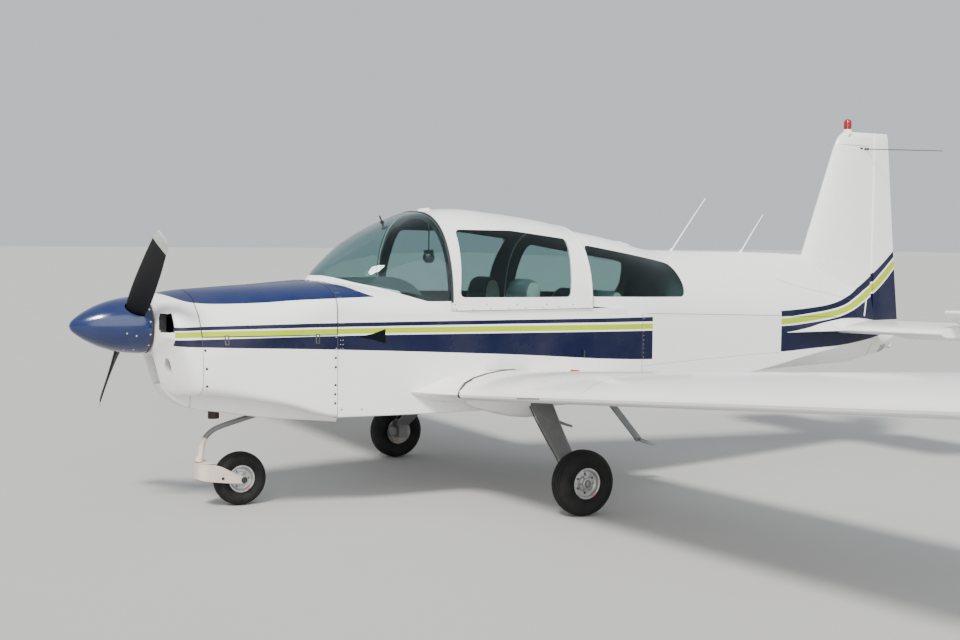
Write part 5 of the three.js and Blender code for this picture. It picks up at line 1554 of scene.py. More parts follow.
fit(heads_of("side_catches", catch, 13, 1.2, 24), livery_paint)

# Door handle under the canopy's rear edge: a small pull in a dish.
handle = from_pixels(fuselage_skin, [(583.6, 353.5)])
fit(plates_of("step_handles", handle, 26, 70, 3.5, 10), livery_paint)
fit(plates_of("handle_pulls", handle, 9, 46, 9, 4, 3), dark_fasteners)


# Canopy and cabin fittings
# Two rows of screws along the canopy's foot, an extruded rail fitting behind it, black rubber seal in
# front, an air thermometer through the windshield, and a small fairing on the rear roof.
canopy_skin = skin_of(canopy)
SCREW_PIXELS = [
    (455.3, 304.6), (486.8, 304.6), (517.3, 304.7), (546.9, 304.7), (573.5, 304.8), (452.9, 309.6),
    (456.3, 309.6), (473.4, 309.4), (490.8, 308.9), (508.6, 308.4), (526, 307.9), (542.8, 307.4),
    (559, 306.9),
]
canopy_screws = heads_of("canopy_screws", from_pixels(canopy_skin, SCREW_PIXELS), 4.6, 1.3)
fit(canopy_screws, steel_screws, "canopy")


# Spots over the hood at one station, from the port foot over the crown to the starboard foot.
def hood_arch(x):
    middle = Vector((x, 0, 1300))
    edge = [Vector(point) for point in hood_ring(x) if point[2] > CANOPY_FOOT_Z]
    port = sorted((p for p in edge if p.y >= 0), key=lambda p: p.z)
    starboard = sorted((p for p in edge if p.y < -0.01), key=lambda p: -p.z)
    return [(p, (p - middle).normalized()) for p in port + starboard]


seal = gathered("canopy_seal", [strip_mesh(hood_arch(CANOPY_FRONT_X - 4), 17, 2.6, 3.0)])
fit(seal, black_trim, "canopy")

rail_skin = skin_of(canopy, rear_skin, tub)
rail_end = from_pixels(rail_skin, [(584.5, 308.2)])
fit(plates_of("rail_fittings", rail_end, 118, 26, 5, 6), white_paint, "canopy")
heads_at = [(p + Vector((dx, 0, 0)) + n * 5, n) for p, n in rail_end for dx in (-40, -12, 16, 44)]
fit(heads_of("rail_fitting_screws", heads_at, 4.4, 1.6), steel_screws, "canopy")

probe = joined(
    rod((1330, 0, 1741), (1360, 0, 1808), 5, 20, name="air_thermometer"),
    rod((1340, 0, 1763), (1344, 0, 1772), 14, 24),
    rod((1321, 0, 1722), (1328, 0, 1736), 20, 24),
)
fit(probe, dark_fasteners)

roof_skin = skin_of(rear_skin)
ROOF_FAIRING_X = -571
fairing = gathered("roof_fairing", [plate_mesh(hit_top(roof_skin, ROOF_FAIRING_X), 118, 46, 12, 16)])
fit(fairing, white_paint)
ends = [head_mesh(hit_top(roof_skin, ROOF_FAIRING_X + dx), 5, 1.5) for dx in (-78, 78)]
fit(gathered("roof_fairing_screws", ends), steel_screws)


# Nose gear
# A spring steel tube bends forward from the firewall and down to a swivel pin, its foot painted cream.
# The cream fork is welded sheet, turns freely on the pin and carries the small wheel on a through bolt.

# Points on a smooth curve through the given ones.
def curve_through(path, count=10):
    path = [Vector(point) for point in path]
    ends = [path[0] * 2 - path[1]] + path + [path[-1] * 2 - path[-2]]
    places = []
    for i in range(1, len(ends) - 2):
        before, start, end, after = ends[i - 1:i + 3]
        for t in spread(0, 1, count)[:-1]:
            bend = 2 * before - 5 * start + 4 * end - after
            twist = 3 * start - before - 3 * end + after
            places.append(0.5 * (2 * start + (end - before) * t + bend * t**2 + twist * t**3))
    return places + [path[-1]]


# A round tube along a curve; the radius may change evenly from one end to the other.
def tube(name, path, radius, sides=20, end_radius=None, count=10):
    places = curve_through(path, count)
    rings = []
    turn = (places[1] - places[0]).to_track_quat("Z", "Y")
    for i, centre in enumerate(places):
        ahead = (places[min(i + 1, len(places) - 1)] - places[max(i - 1, 0)]).normalized()
        turn = (turn @ Vector((0, 0, 1))).rotation_difference(ahead) @ turn
        size = radius + ((end_radius or radius) - radius) * i / (len(places) - 1)
        rings.append([tuple(centre + turn @ Vector((size * c, size * s, 0))) for c, s in around(sides)])
    return loft(name, rings)


# A plan outline of (x, y) points, extruded from z0 to z1.
def plan_prism(points, z0, z1, name="prism"):
    return loft(name, [[(x, y, z) for x, y in points] for z in (z0, z1)])


# Rounded edges, kept as a modifier on the piece.
def bevelled(made, width, steps=2):
    edge = made.modifiers.new("edges", "BEVEL")
    edge.width = width * MM
    edge.segments = steps
    edge.limit_method = "ANGLE"
    edge.angle_limit = math.radians(35)
    edge.harden_normals = True
    return made


CASTER_X = 2575
NOSE_AXLE = {"x": 2315, "z": 166}
STRUT_PATH = [
    (2565, 0, 288), (2556, 0, 380), (2527, 0, 442), (2450, 0, 491), (2250, 0, 545), (2050, 0, 596),
    (1890, 0, 638),
]
STRUT_RADIUS = 16
SLEEVE_PATH = [(2567, 0, 292), (2561, 0, 350), (2552, 0, 396), (2538, 0, 430)]
grey_gear = finish_of(
    "grey_gear", (0.15, 0.155, 0.155), (0.27, 0.26, 0.24), 0.45, 16, 420, (0.35, 0.55), 0.15, 0.0004
)
cream_paint = finish_of(
    "cream_paint", (0.62, 0.55, 0.44), (0.42, 0.33, 0.25), 0.35, 22, 500, (0.3, 0.5), 0.12, 0.0004, coat=0.2
)
strut = joined(
    tube("nose_leg", STRUT_PATH, STRUT_RADIUS, 28),
    block((1885.5, 1903), (-70, 70), (590, 690)),
    rod((CASTER_X, 0, 172), (CASTER_X, 0, 290), 12, 24),
)
fit(strut, grey_gear, node="nose_strut")
sleeve = joined(
    tube("nose_leg_foot", SLEEVE_PATH, STRUT_RADIUS + 3, 28, STRUT_RADIUS + 1.5),
    rod((CASTER_X, 0, 288), (CASTER_X - 3, 0, 318), 26, 32, 21),
)
fit(sleeve, cream_paint)

FORK_SIDE = [
    (2611, 184), (2611, 281), (2560, 281), (2504, 271), (2459, 257), (2400, 226), (2345, 190), (2316, 187),
    (2299, 181), (2293, 166), (2299, 151), (2318, 144), (2400, 151), (2472, 160), (2560, 174),
]
FORK_OUTER = [(2270, 88), (2535, 88), (2562, 80), (2584, 60), (2598, 34)]
FORK_HALF = 88
FORK_BOLT = (2452, 185)
FORK_INNER = [(2200, 70), (2520, 70), (2540, 60), (2550, 40)]


# A plan outline's port half, carried on round its starboard half.
def both_halves(half):
    return half + [(x, -y) for x, y in half[::-1]]


def caster_bore(radius, foot_z=100, sides=24):
    return rod((CASTER_X, 0, foot_z), (CASTER_X, 0, 400), radius, sides)


fork = cut(
    within(
        side_prism(FORK_SIDE, -FORK_HALF, FORK_HALF, "fork_shell"),
        plan_prism(both_halves(FORK_OUTER), 100, 320),
    ),
    plan_prism(both_halves(FORK_INNER), 90, 330),
    caster_bore(13),
)
joined(fork, rod((NOSE_AXLE["x"], -82, NOSE_AXLE["z"]), (NOSE_AXLE["x"], 82, NOSE_AXLE["z"]), 11, 24))
fit(bevelled(fork, 2.5), cream_paint, "fork", "nose_fork")
plate_half = [(2510, 90)] + [(x + 2, y + 2) for x, y in FORK_OUTER[1:]]
fork_plate = cut(plan_prism(both_halves(plate_half), 280.5, 284.5, "fork_top_plate"), caster_bore(27, 200, 32))
fit(bevelled(fork_plate, 1), cream_paint, "fork")


# A flat-sided nut or bolt head on a face, with its washer.
def nut_mesh(place, normal, size, height):
    place, normal = Vector(place), Vector(normal).normalized()
    outline = [(size * c, size * s) for c, s in around(6)]
    levels = ((1, 1.0), (height * 0.85, 1.0), (height, 0.86))
    nut = stack_mesh(place, normal.to_track_quat("Z", "Y"), outline, levels)
    return [head_mesh((place, normal), size * 1.35, 1.5, 20), nut]


fork_nuts = []
for side in (1, -1):
    for (x, z), size, height in (((NOSE_AXLE["x"], NOSE_AXLE["z"]), 15, 12), (FORK_BOLT, 7, 6)):
        fork_nuts += nut_mesh((x, FORK_HALF * side, z), (0, side, 0), size, height)
fit(gathered("fork_nuts", fork_nuts, 25), dark_fasteners, "fork")


# Wheels and brakes
# Black tubed tyres with straight ribs, on split cast wheels bolted together, with a steel brake disc
# inboard of each main wheel and its caliper on the leg.

# Section of a ribbed tyre, as pairs of radius and distance from its middle plane.
def tyre_profile(outer, rim, width):
    height = outer - rim
    half = [(rim, 0.34 * width), (rim + 3, 0.385 * width), (rim + 7, 0.40 * width)]
    for t in spread(0.12, 0.5, 8):
        ridge = 1.4 if 0.15 < t < 0.21 else 0
        bulge = 0.40 + 0.10 * math.sin((t - 0.12) / 0.38 * math.pi / 2)
        half.append((rim + height * t, width * bulge + ridge))
    crown = [0.495, 0.48, 0.455, 0.42, 0.38, 0.335]
    ribs = [
        (0.315, 0), (0.305, 4), (0.275, 4), (0.265, 0), (0.185, 0), (0.175, 4), (0.145, 4), (0.135, 0),
        (0.03, 0), (0.02, 4),
    ]
    for share, sunk in [(share, 0) for share in crown] + ribs:
        rise = (1 - (share / 0.5) ** 2.3) ** (1 / 2.3)
        half.append((rim + height * (0.5 + 0.5 * rise) - sunk, share * width))
    return half + [(radius, -side) for radius, side in half[::-1]]


def hub_profile(rim, width, bore):
    flange = 0.355 * width
    half = [
        (bore + 0.5, 0.34 * width), (bore + 8, 0.40 * width), (bore + 14, 0.385 * width),
        (bore + 17, 0.30 * width), (bore + 29, 0.285 * width), (bore + 32, 0.19 * width),
        (rim - 26, 0.17 * width), (rim - 19, 0.20 * width),
        (rim - 15, flange - 6), (rim - 13, flange - 1), (rim - 9, flange + 1), (rim - 2, flange),
        (rim - 0.5, flange - 3),
    ]
    return half + [(radius, -side) for radius, side in half[::-1]]


tyre_rubber = finish_of(
    "tyre_rubber", (0.007, 0.007, 0.0075), (0.045, 0.041, 0.035), 0.45, 12, 300, (0.62, 0.85), 0.25,
    specular=0.25,
)
wheel_metal = finish_of(
    "wheel_metal", (0.52, 0.52, 0.51), (0.16, 0.15, 0.14), 0.5, 26, 520, (0.32, 0.5), 0.12, 0.0003,
    metallic=0.6,
)
disc_steel = finish_of(
    "disc_steel", (0.32, 0.30, 0.28), (0.20, 0.13, 0.08), 0.6, 40, 600, (0.3, 0.5), 0.15, 0.0002, metallic=0.9
)
red_mark = finish_of("red_mark", (0.50, 0.03, 0.02), (0.25, 0.04, 0.03), 0.3, 60, 500, (0.4, 0.6), 0.1)
# Name, body, centre, outer radius, rim radius, width, bore, bolts round the rim.
WHEELS = [
    ("nose", "nose_wheel", (2315, 0, 166), 166, 86, 124, 13, 3),
    ("main_port", "main_wheel_port", (600, 1260, 200), 200, 96, 150, 18, 6),
    ("main_starboard", "main_wheel_starboard", (600, -1260, 200), 200, 96, 150, 18, 6),
]
SLIP_MARK = (-62, -52)
# Circles of the lightening holes and of the bolts, outside the bore.
HOLE_CIRCLE = 40
BOLT_CIRCLE = 23
for name, body, centre, outer, rim, width, bore, bolts in WHEELS:
    centre = Vector(centre)
    tyre = spun(f"{name}_tyre_ribbed", tyre_profile(outer, rim, width), centre, (0, 1, 0), 96, 30)
    fit(tyre, tyre_rubber, body, f"{name}_tyre")
    hub = spun(f"{name}_hub_cast", hub_profile(rim, width, bore), centre, (0, 1, 0), 72, 28)
    for c, s in around(bolts, math.pi / bolts):
        reach = bore + HOLE_CIRCLE
        hole = centre + Vector((reach * c, 0, reach * s))
        through = Vector((0, width, 0))
        cut(hub, rod(hole - through, hole + through, 6 if bolts == 3 else 8, 16))
    fit(hub, wheel_metal, body, f"{name}_hub")
    nuts, marks = [], []
    for side in (1, -1):
        for c, s in around(bolts):
            reach = bore + BOLT_CIRCLE
            spot = centre + Vector((reach * c, side * 0.292 * width, reach * s))
            nuts += nut_mesh(spot, (0, side, 0), 5.5, 6)
        spots = []
        for degrees in spread(*SLIP_MARK, 6):
            a = math.radians(degrees)
            out = Vector((-(rim - 5) * math.cos(a), side * 0.36 * width, (rim - 5) * math.sin(a)))
            spots.append((centre + out, Vector((0, side, 0))))
        marks.append(strip_mesh(spots, 10, 1.2))
    fit(gathered(f"{name}_hub_nuts", nuts, 25), steel_screws, body)
    fit(gathered(f"{name}_slip_marks", marks), red_mark, body)

MAIN_AXLE = (600, 200)
AXLE_END_Y = 1322
BRAKE_Y = 1184
CALIPER_Y = (1146, 1181)
DISC_SECTION = [(34, 0), (86, 0), (86, 6), (46, 6), (44, 24), (34, 24)]
CALIPER = [(646, 236), (700, 252), (706, 222), (694, 176), (660, 172), (640, 200)]
HOSE = [
    (672, 1152, 250), (680, 1120, 300), (672, 1060, 345), (668, 960, 420), (664, 830, 528), (655, 740, 606),
]
SIDES = ((1, "port"), (-1, "starboard"))
for side, name in SIDES:
    x, z = MAIN_AXLE
    disc = spun(f"brake_disc_{name}", DISC_SECTION, (x, side * BRAKE_Y, z), (0, side, 0), 64, 28)
    fit(disc, disc_steel, f"main_wheel_{name}")
    caliper = side_prism(CALIPER, *(side * y for y in CALIPER_Y), f"brake_caliper_{name}")
    fit(bevelled(caliper, 5, 3), grey_gear)
    fit(tube(f"brake_hose_{name}", [(x, side * y, z) for x, y, z in HOSE], 4, 12), black_trim)
    axle_nut = gathered(f"axle_nut_{name}", nut_mesh((x, side * AXLE_END_Y, z), (0, side, 0), 17, 9), 25)
    fit(axle_nut, steel_screws)


# Main legs, gear fairings and steps
# Each leg is one tapered strip of laminated fibre, bolted under the wing, painted dark grey; a small pod
# closes its root. The steps are bent flat steel with a ribbed pad.
for node in ("main_leg_port", "main_leg_starboard", "step_port", "step_starboard"):
    paint(cad[node], grey_gear)
    bevelled(cad[node], 3)

# Columns: x, half width, underside.
GEAR_FAIRING = [
    (1045, 12, 632), (1020, 32, 618), (990, 48, 604), (864, 84, 566), (697, 104, 531), (590, 108, 523),
    (520, 100, 527),
]
FAIRING_Y = 618
# Columns: x, y, z of the leg's middle, width, thickness.
LEG = [(545, 640, 688, 160, 32), (556, 749, 585, 160, 32), (575, 889, 461, 148, 30)]
LEG_TILT = 0.7


def leg_ring(x, y, z, wide, thick, grow):
    w, t = wide / 2 + grow, thick / 2 + grow
    corners = [(w, t), (-w, t), (-w, -t), (w, -t)]
    return [(x + a, y + b * math.sin(LEG_TILT), z + b * math.cos(LEG_TILT)) for a, b in corners]


def fairing_ring(x):
    half, bottom = at(GEAR_FAIRING, 1, x), at(GEAR_FAIRING, 2, x)
    arc = []
    for a in spread(math.pi, 2 * math.pi, 25):
        arc.append((x, FAIRING_Y + half * math.cos(a), 640 + (640 - bottom) * math.sin(a)))
    return [(x, FAIRING_Y - half, 700)] + arc + [(x, FAIRING_Y + half, 700)]


gear_fairing = cut(
    loft("gear_fairing_skin", [fairing_ring(x) for x in run(1045, 520, 30, GEAR_FAIRING)]),
    body_loft(1200, 400, -1),
    loft("leg_slot", [leg_ring(*row, 4) for row in LEG]),
)
within(gear_fairing, block((400, 1100), (300, 900), (400, 690)))
fit_both(gear_fairing, white_paint, "gear_fairing")

pad_up = Vector((-0.34, 0, 0.94)).normalized()
PAD_FRONT, PAD_REAR = Vector((-370, 0, 311)), Vector((-482, 0, 270))
PAD_Y = (478, 500, 520, 542)
pad_ribs = []
for t in spread(0.06, 0.94, 9):
    place = PAD_FRONT + (PAD_REAR - PAD_FRONT) * t
    pad_ribs.append([(place + Vector((0, y, 0)), pad_up) for y in PAD_Y])
fit(strips_of("step_pad_ribs", pad_ribs, 5, 2.4), black_trim)


# Cabin
# Two reclining front seats and a rear bench in grey-blue cloth with cream side bands, a black crinkle
# panel with round dials, a radio stack and two horn-shaped control wheels, and a dark vinyl glareshield.
cabin_lining = finish_of(
    "cabin_lining", (0.055, 0.060, 0.062), (0.09, 0.09, 0.09), 0.3, 4, 900, (0.6, 0.85), 0.12, 0.0003
)
LINED_FROM_X, LINED_TO_X = -900, 1780
LINED_FROM_Z = 560


# Dark lining on the faces of a skin that look into the cabin.
def line_inside(made):
    made.data.materials.append(cabin_lining)
    for face in made.data.polygons:
        centre = face.center / MM
        if not LINED_FROM_X < centre.x < LINED_TO_X:
            continue
        inwards = Vector((0, -centre.y, 1150 - centre.z)).normalized()
        faces_forward = face.normal.x > 0.6 and centre.x < -370
        if (face.normal.dot(inwards) > 0.45 or faces_forward) and centre.z > LINED_FROM_Z:
            face.material_index = 1


for skin in (tub, deck, rear_skin, canopy):
    line_inside(skin)

glareshield = within(
    cut(body_loft(1800, 1300, -6, 30, "glareshield"), body_loft(1840, 1260, -2)),
    hood_loft(1800, 1290, 26, 30),
    block((1290, 1790), (-560, 560), (1240, 1500)),
)
fit(glareshield, cabin_lining)

seat_cloth = finish_of(
    "seat_cloth", (0.16, 0.20, 0.22), (0.10, 0.12, 0.13), 0.4, 9, 900, (0.75, 0.92), 0.35, 0.0006
)
tree = seat_cloth.node_tree
axes = axes_of(tree)


def cloth_maths(operation, first, second=0):
    return maths(tree, operation, first, second)


# Where the seats' bands lie, in metres: the front seats' middle, the half width of their plain cloth, the
# half width of the bench's, and the station between the two rows.
SEAT_MIDDLE, FRONT_PLAIN, REAR_PLAIN, ROW_PARTING_X = 0.265, 0.125, 0.36, 0.25
across = cloth_maths("ABSOLUTE", axes["Y"])
off_centre = cloth_maths("ABSOLUTE", cloth_maths("SUBTRACT", across, SEAT_MIDDLE))
is_front = cloth_maths("GREATER_THAN", axes["X"], ROW_PARTING_X)
front_band = cloth_maths("MULTIPLY", cloth_maths("GREATER_THAN", off_centre, FRONT_PLAIN), is_front)
is_rear = cloth_maths("SUBTRACT", 1, is_front)
rear_band = cloth_maths("MULTIPLY", cloth_maths("GREATER_THAN", across, REAR_PLAIN), is_rear)
two_tone(seat_cloth, cloth_maths("ADD", front_band, rear_band), (0.055, 0.070, 0.078), (0.30, 0.28, 0.25))
# Plain weave: threads 2.4 mm apart along and across, added to the cloth's bump.
THREAD_MM = 2.4
turns_a_metre = 2 * math.pi / (THREAD_MM * MM)
weave = [cloth_maths("SINE", cloth_maths("MULTIPLY", axes[i], turns_a_metre)) for i in range(3)]
threads = cloth_maths("ADD", *(cloth_maths("MULTIPLY", weave[i], weave[i + 1]) for i in (0, 1)))
relief = next(node for node in tree.nodes if node.bl_idname == "ShaderNodeBump")
woven = cloth_maths("ADD", cloth_maths("MULTIPLY", threads, 0.35), tree.nodes["surface"].outputs["Height"])
tree.links.new(woven, relief.inputs["Height"])


# Lets a closed solid swell like stuffed cloth; no point moves further than the limit.
def stuffed(made, voxel=13, limit=16, pressure=4.0, frames=14):
    grid = made.modifiers.new("grid", "REMESH")
    grid.mode = "VOXEL"
    grid.voxel_size = voxel * MM
    bpy.context.view_layer.update()
    meshed = bpy.data.meshes.new_from_object(made.evaluated_get(bpy.context.evaluated_depsgraph_get()))
    made.modifiers.clear()
    made.data = meshed
    flat = [vertex.co.copy() for vertex in made.data.vertices]
    cloth = made.modifiers.new("stuffing", "CLOTH")
    cloth.settings.use_pressure = True
    cloth.settings.uniform_pressure_force = pressure
    cloth.settings.effector_weights.gravity = 0
    cloth.point_cache.frame_start = 1
    cloth.point_cache.frame_end = frames
    for frame_number in range(1, frames + 1):
        bpy.context.scene.frame_set(frame_number)
    swollen = bpy.data.meshes.new_from_object(made.evaluated_get(bpy.context.evaluated_depsgraph_get()))
    made.modifiers.clear()
    bpy.context.scene.frame_set(1)
    for vertex, start in zip(swollen.vertices, flat):
        move = vertex.co - start
        if move.length > limit * MM:
            vertex.co = start + move.normalized() * limit * MM
    made.data = swollen
    return made


# Presses sewn channels into a cushion, at places along an axis, on the side that faces the sitter.
def sew(made, axis, places, facing, depth=9, width=11):
    facing = Vector(facing).normalized()
    made.data.update()
    for vertex in made.data.vertices:
        share = max(0, vertex.normal.dot(facing))
        nearest = min(abs(vertex.co[axis] / MM - channel) for channel in places)
        vertex.co -= vertex.normal * (depth * MM * share * math.exp(-((nearest / width) ** 2)))
    return made


def cushion(name, side, y0, y1, axis, places, facing):
    low, high = min(z for _, z in side) - 5, max(z for _, z in side) + 5
    corner = 60 if high < 900 else 150
    front_shape = rounded([(y0, low), (y1, low), (y1, high), (y0, high)], corner, 8)
    made = within(side_prism(side, y0, y1, name), front_prism(front_shape, -400, 1000))
    sew(stuffed(made), axis, places, facing)
    softened = made.modifiers.new("softened", "SUBSURF")
    softened.levels = 1
    softened.render_levels = 1
    for face in made.data.polygons:
        face.use_smooth = True
    paint(made, seat_cloth)
    return made


# Side outlines, (x, z): the squab that is sat on and the back that leans on it.
FRONT_SQUAB = [(505, 742), (905, 742), (918, 800), (905, 852), (860, 872), (505, 852)]
FRONT_BACK = [
    (402, 876), (490, 876), (480, 1080), (452, 1375), (432, 1416), (396, 1416), (382, 1375), (390, 1080),
]
REAR_SQUAB = [(-150, 742), (160, 742), (168, 800), (158, 850), (110, 866), (-150, 850)]
REAR_BACK = [
    (-262, 872), (-172, 872), (-190, 1040), (-240, 1285), (-262, 1328), (-300, 1328), (-312, 1285),
    (-288, 1040),
]
# Name, outline, from y, to y, axis of the channels, their places, facing, replaced node.
CUSHIONS = [
    ("front_squab_port", FRONT_SQUAB, 60, 470, 0, (640, 770), (0, 0, 1), "front_seat_port"),
    ("front_back_port", FRONT_BACK, 85, 445, 2, (1010, 1150, 1290), (1, 0, 0.1), ""),
    ("rear_squab", REAR_SQUAB, -430, 430, 1, (-10, 10), (0, 0, 1), "rear_seat"),
    ("rear_back", REAR_BACK, -430, 430, 2, (1010, 1150), (1, 0, 0.1), ""),
]
for name, side, y0, y1, axis, places, facing, node in CUSHIONS:
    made = cushion(name, side, y0, y1, axis, places, facing)
    pieces = [(made, node)]
    if name.endswith("_port"):
        twin = mirror_of(made, name.replace("_port", "_starboard"))
        pieces.append((twin, node.replace("_port", "_starboard")))
    for each, stands in pieces:
        if stands:
            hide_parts(stands)
        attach(each, "airframe")
seat_plastic = finish_of(
    "seat_plastic", (0.03, 0.03, 0.032), (0.08, 0.08, 0.08), 0.3, 12, 700, (0.45, 0.65), 0.2
)
SEAT_BASE = [(420, 602), (880, 602), (870, 735), (400, 735), (352, 900), (330, 900), (385, 700)]
BENCH_BASE = [(-300, 602), (150, 602), (145, 735), (-160, 735), (-300, 860)]
for outline, y0, y1, name in (
    (SEAT_BASE, 75, 455, "front_seat_base_port"),
    (SEAT_BASE, -455, -75, "front_seat_base_starboard"),
    (BENCH_BASE, -425, 425, "rear_bench_base"),
):
    fit(bevelled(side_prism(outline, y0, y1, name), 12, 3), seat_plastic)

PANEL_X = 1300
PANEL_FACE = [(500, 960), (512, 1180), (450, 1318)]
crinkle_black = finish_of(
    "crinkle_black", (0.02, 0.02, 0.021), (0.06, 0.06, 0.06), 0.3, 14, 1400, (0.5, 0.7), 0.5
)
board = front_prism(PANEL_FACE + [(-y, z) for y, z in PANEL_FACE[::-1]], PANEL_X, PANEL_X + 24, "panel_board")
fit(bevelled(board, 3), crinkle_black, node="instrument_panel")
dial_white = finish_of("dial_white", (0.75, 0.75, 0.72), (0.5, 0.5, 0.46), 0.2, 80, 900, (0.5, 0.6), 0.05)
dial_face = finish_of(
    "dial_face", (0.012, 0.012, 0.013), (0.03, 0.03, 0.03), 0.2, 60, 900, (0.2, 0.3), 0.05, coat=0.6
)
# Columns: across, up, radius.
DIALS = [
    (370, 1248, 41), (275, 1248, 41), (180, 1248, 41), (370, 1152, 41), (275, 1152, 41), (180, 1152, 41),
    (430, 1060, 29), (-180, 1250, 29), (-250, 1250, 29), (-320, 1250, 29), (-390, 1250, 29), (-180, 1180, 29),
    (-250, 1180, 29), (-320, 1180, 29),
]
FACING_BACK = Vector((-1, 0, 0))
bezels, faces_of_dials, ticks = [], [], []
for y, z, radius in DIALS:
    dial = Vector((PANEL_X, y, z))
    bezels.append(head_mesh((dial, FACING_BACK), radius + 5, 7, 40))
    faces_of_dials.append(head_mesh((dial, FACING_BACK), radius, 8.2, 40))
    strokes = []
    for c, s in around(12):
        out = Vector((0, c, s)) * radius
        strokes.append((dial + out * 0.78 + FACING_BACK * 8.4, dial + out * 0.92 + FACING_BACK * 7.2, 1.6))
    lean = (y * 7 + z) % 6
    needle = Vector((0, math.cos(lean), math.sin(lean))) * radius * 0.7
    middle = dial + FACING_BACK * 8.8
    for start, end, width in strokes + [(middle - needle * 0.2, middle + needle, 2.2)]:
        ticks.append(strip_mesh([(start, FACING_BACK), (end, FACING_BACK)], width, 0.5))
fit(gathered("dial_bezels", bezels), black_trim)
fit(gathered("dial_faces", faces_of_dials), dial_face)
fit(gathered("dial_marks", ticks), dial_white)


# A plate with rounded corners on the panel: half its width, its foot and top, and from x0 to x1.
def panel_plate(half, foot, top, radius, x0, x1, name="plate"):
    corners = [(-half, foot), (half, foot), (half, top), (-half, top)]
    return front_prism(rounded(corners, radius), x0, x1, name)


for i, z in enumerate((1070, 1122, 1174, 1226)):
    made = panel_plate(86, z, z + 46, 4, PANEL_X - 9, PANEL_X + 2, f"radio_{i + 1}")
    cut(made, panel_plate(48, z + 15, z + 35, 2, PANEL_X - 20, PANEL_X - 6))
    for y in (-68, 68):
        joined(made, rod((PANEL_X - 24, y, z + 23), (PANEL_X - 4, y, z + 23), 10, 24, 12))
    fit(made, seat_plastic)

HORN = [(0, -122, 92), (0, -138, 55), (0, -128, 5), (0, -80, -38), (0, -30, -22), (0, 0, 0)]
for side, name in SIDES:
    hub_at = Vector((1110, side * 265, 1110))
    whole = [hub_at + Vector(point) for point in HORN + [(x, -y, z) for x, y, z in HORN[-2::-1]]]
    horns = joined(
        tube(f"control_wheel_{name}", whole, 13, 20),
        rod(hub_at + Vector((-14, 0, 0)), hub_at + Vector((24, 0, 0)), 30, 32),
        rod(hub_at, (PANEL_X + 4, hub_at.y, hub_at.z), 13, 24),
    )
    fit(horns, seat_plastic)

# Magnetic compass on a thin post from the windshield's rear bow.
COMPASS = (1150, 290, 1540)
COMPASS_SECTION = [(0.1, -30), (24, -30), (33, -18), (33, 18), (24, 30), (0.1, 30)]
compass = joined(
    spun("compass", COMPASS_SECTION, COMPASS, (1, 0, 0), 40),
    rod(COMPASS, (*COMPASS[:2], 1786), 4, 16),
    block((1128, 1172), (COMPASS[1] - 28, COMPASS[1] + 28), (1566, 1590)),
)
fit(compass, black_trim)


# Wing and tail fittings
# A black rubber seal closes the glove's edge, a grey grip patch lies behind it, the fuel cap is red. The tail
# carries a lamp, drain ribs drawn dark with painted shade between them, a cable conduit, flush screws and a
# red beacon on the fin's cap, with painted shadow beside its mount.
wing_top = skin_of(wing, glove)
SEAL_PIXELS = [
    (528.4, 368.6), (513.6, 369.5), (498.8, 371.2), (487.7, 373.6), (474.7, 377.8), (465.5, 383.2),
    (460.5, 389.7), (458.9, 395.2), (459.6, 397.6),
]
glove_seal = along_pixels(wing_top, SEAL_PIXELS, 5)
fit(strips_of("glove_seals", [glove_seal], 22, 3), black_trim)
JOINT_BACK = 0.66
joint_count = sum(s < JOINT_BACK for s in WING_STATIONS)
joint_line = [(Vector(p), Vector((0, 0, 1))) for p in wing_ring(2100)[2:joint_count]]
warning_slot = along_pixels(wing_top, [(517, 398.7), (539.5, 399)], 4)
wing_lines = []
for spots, width, proud in ((joint_line, 1.8, 0.5), (warning_slot, 6, 0.8)):
    wing_lines += [strip_mesh(s, width, proud) for s in (spots, other_side(spots)) if s]
fit(gathered("wing_joints", wing_lines), sealant)
grip_grey = finish_of(
    "grip_grey", (0.10, 0.11, 0.11), (0.2, 0.2, 0.19), 0.4, 20, 900, (0.8, 0.95), 0.9, 0.001
)
GRIP_X = (880, 560)
GRIP_Y = (558, 668)
ROWS, COLUMNS = 14, 5
grip_spots = []
for share in spread(0, 1, ROWS):
    outer_y = GRIP_Y[0] + (GRIP_Y[1] - GRIP_Y[0]) * min(share * 1.6, 1)
    x = GRIP_X[0] + (GRIP_X[1] - GRIP_X[0]) * share
    grip_spots += [hit_top(wing_top, x, y) for y in spread(GRIP_Y[0], outer_y + 1, COLUMNS)]
grip_points = [tuple(place + normal * rise) for rise in (0.9, -1.5) for place, normal in grip_spots]
under = len(grip_spots)
grip_faces = []
for row in range(ROWS - 1):
    for a in range(row * COLUMNS, row * COLUMNS + COLUMNS - 1):
        face = (a, a + 1, a + COLUMNS + 1, a + COLUMNS)
        grip_faces += [face, tuple(under + i for i in face[::-1])]
rim = list(range(0, under, COLUMNS)) + list(range(under - COLUMNS + 1, under))
rim += list(range(under - COLUMNS - 1, 0, -COLUMNS)) + list(range(COLUMNS - 2, 0, -1))
grip_faces += [(a, b, under + b, under + a) for a, b in zip(rim, rim[1:] + rim[:1])]
grip = piece("wing_grip_port", grip_points, grip_faces)
fit(mirror_of(grip, "wing_grip_starboard"), grip_grey)
fit(grip, grip_grey)
fuel_red = finish_of("fuel_red", (0.48, 0.02, 0.02), (0.25, 0.04, 0.03), 0.3, 40, 500, (0.3, 0.45), 0.1)
caps = [hit_top(wing_top, 470, 970)]
caps += other_side(caps)
cap_parts = [head_mesh(s, 42, 16, 40) for s in caps] + [plate_mesh(s, 62, 12, 9, 4, 12) for s in caps]
fit(gathered("fuel_caps", cap_parts), fuel_red)
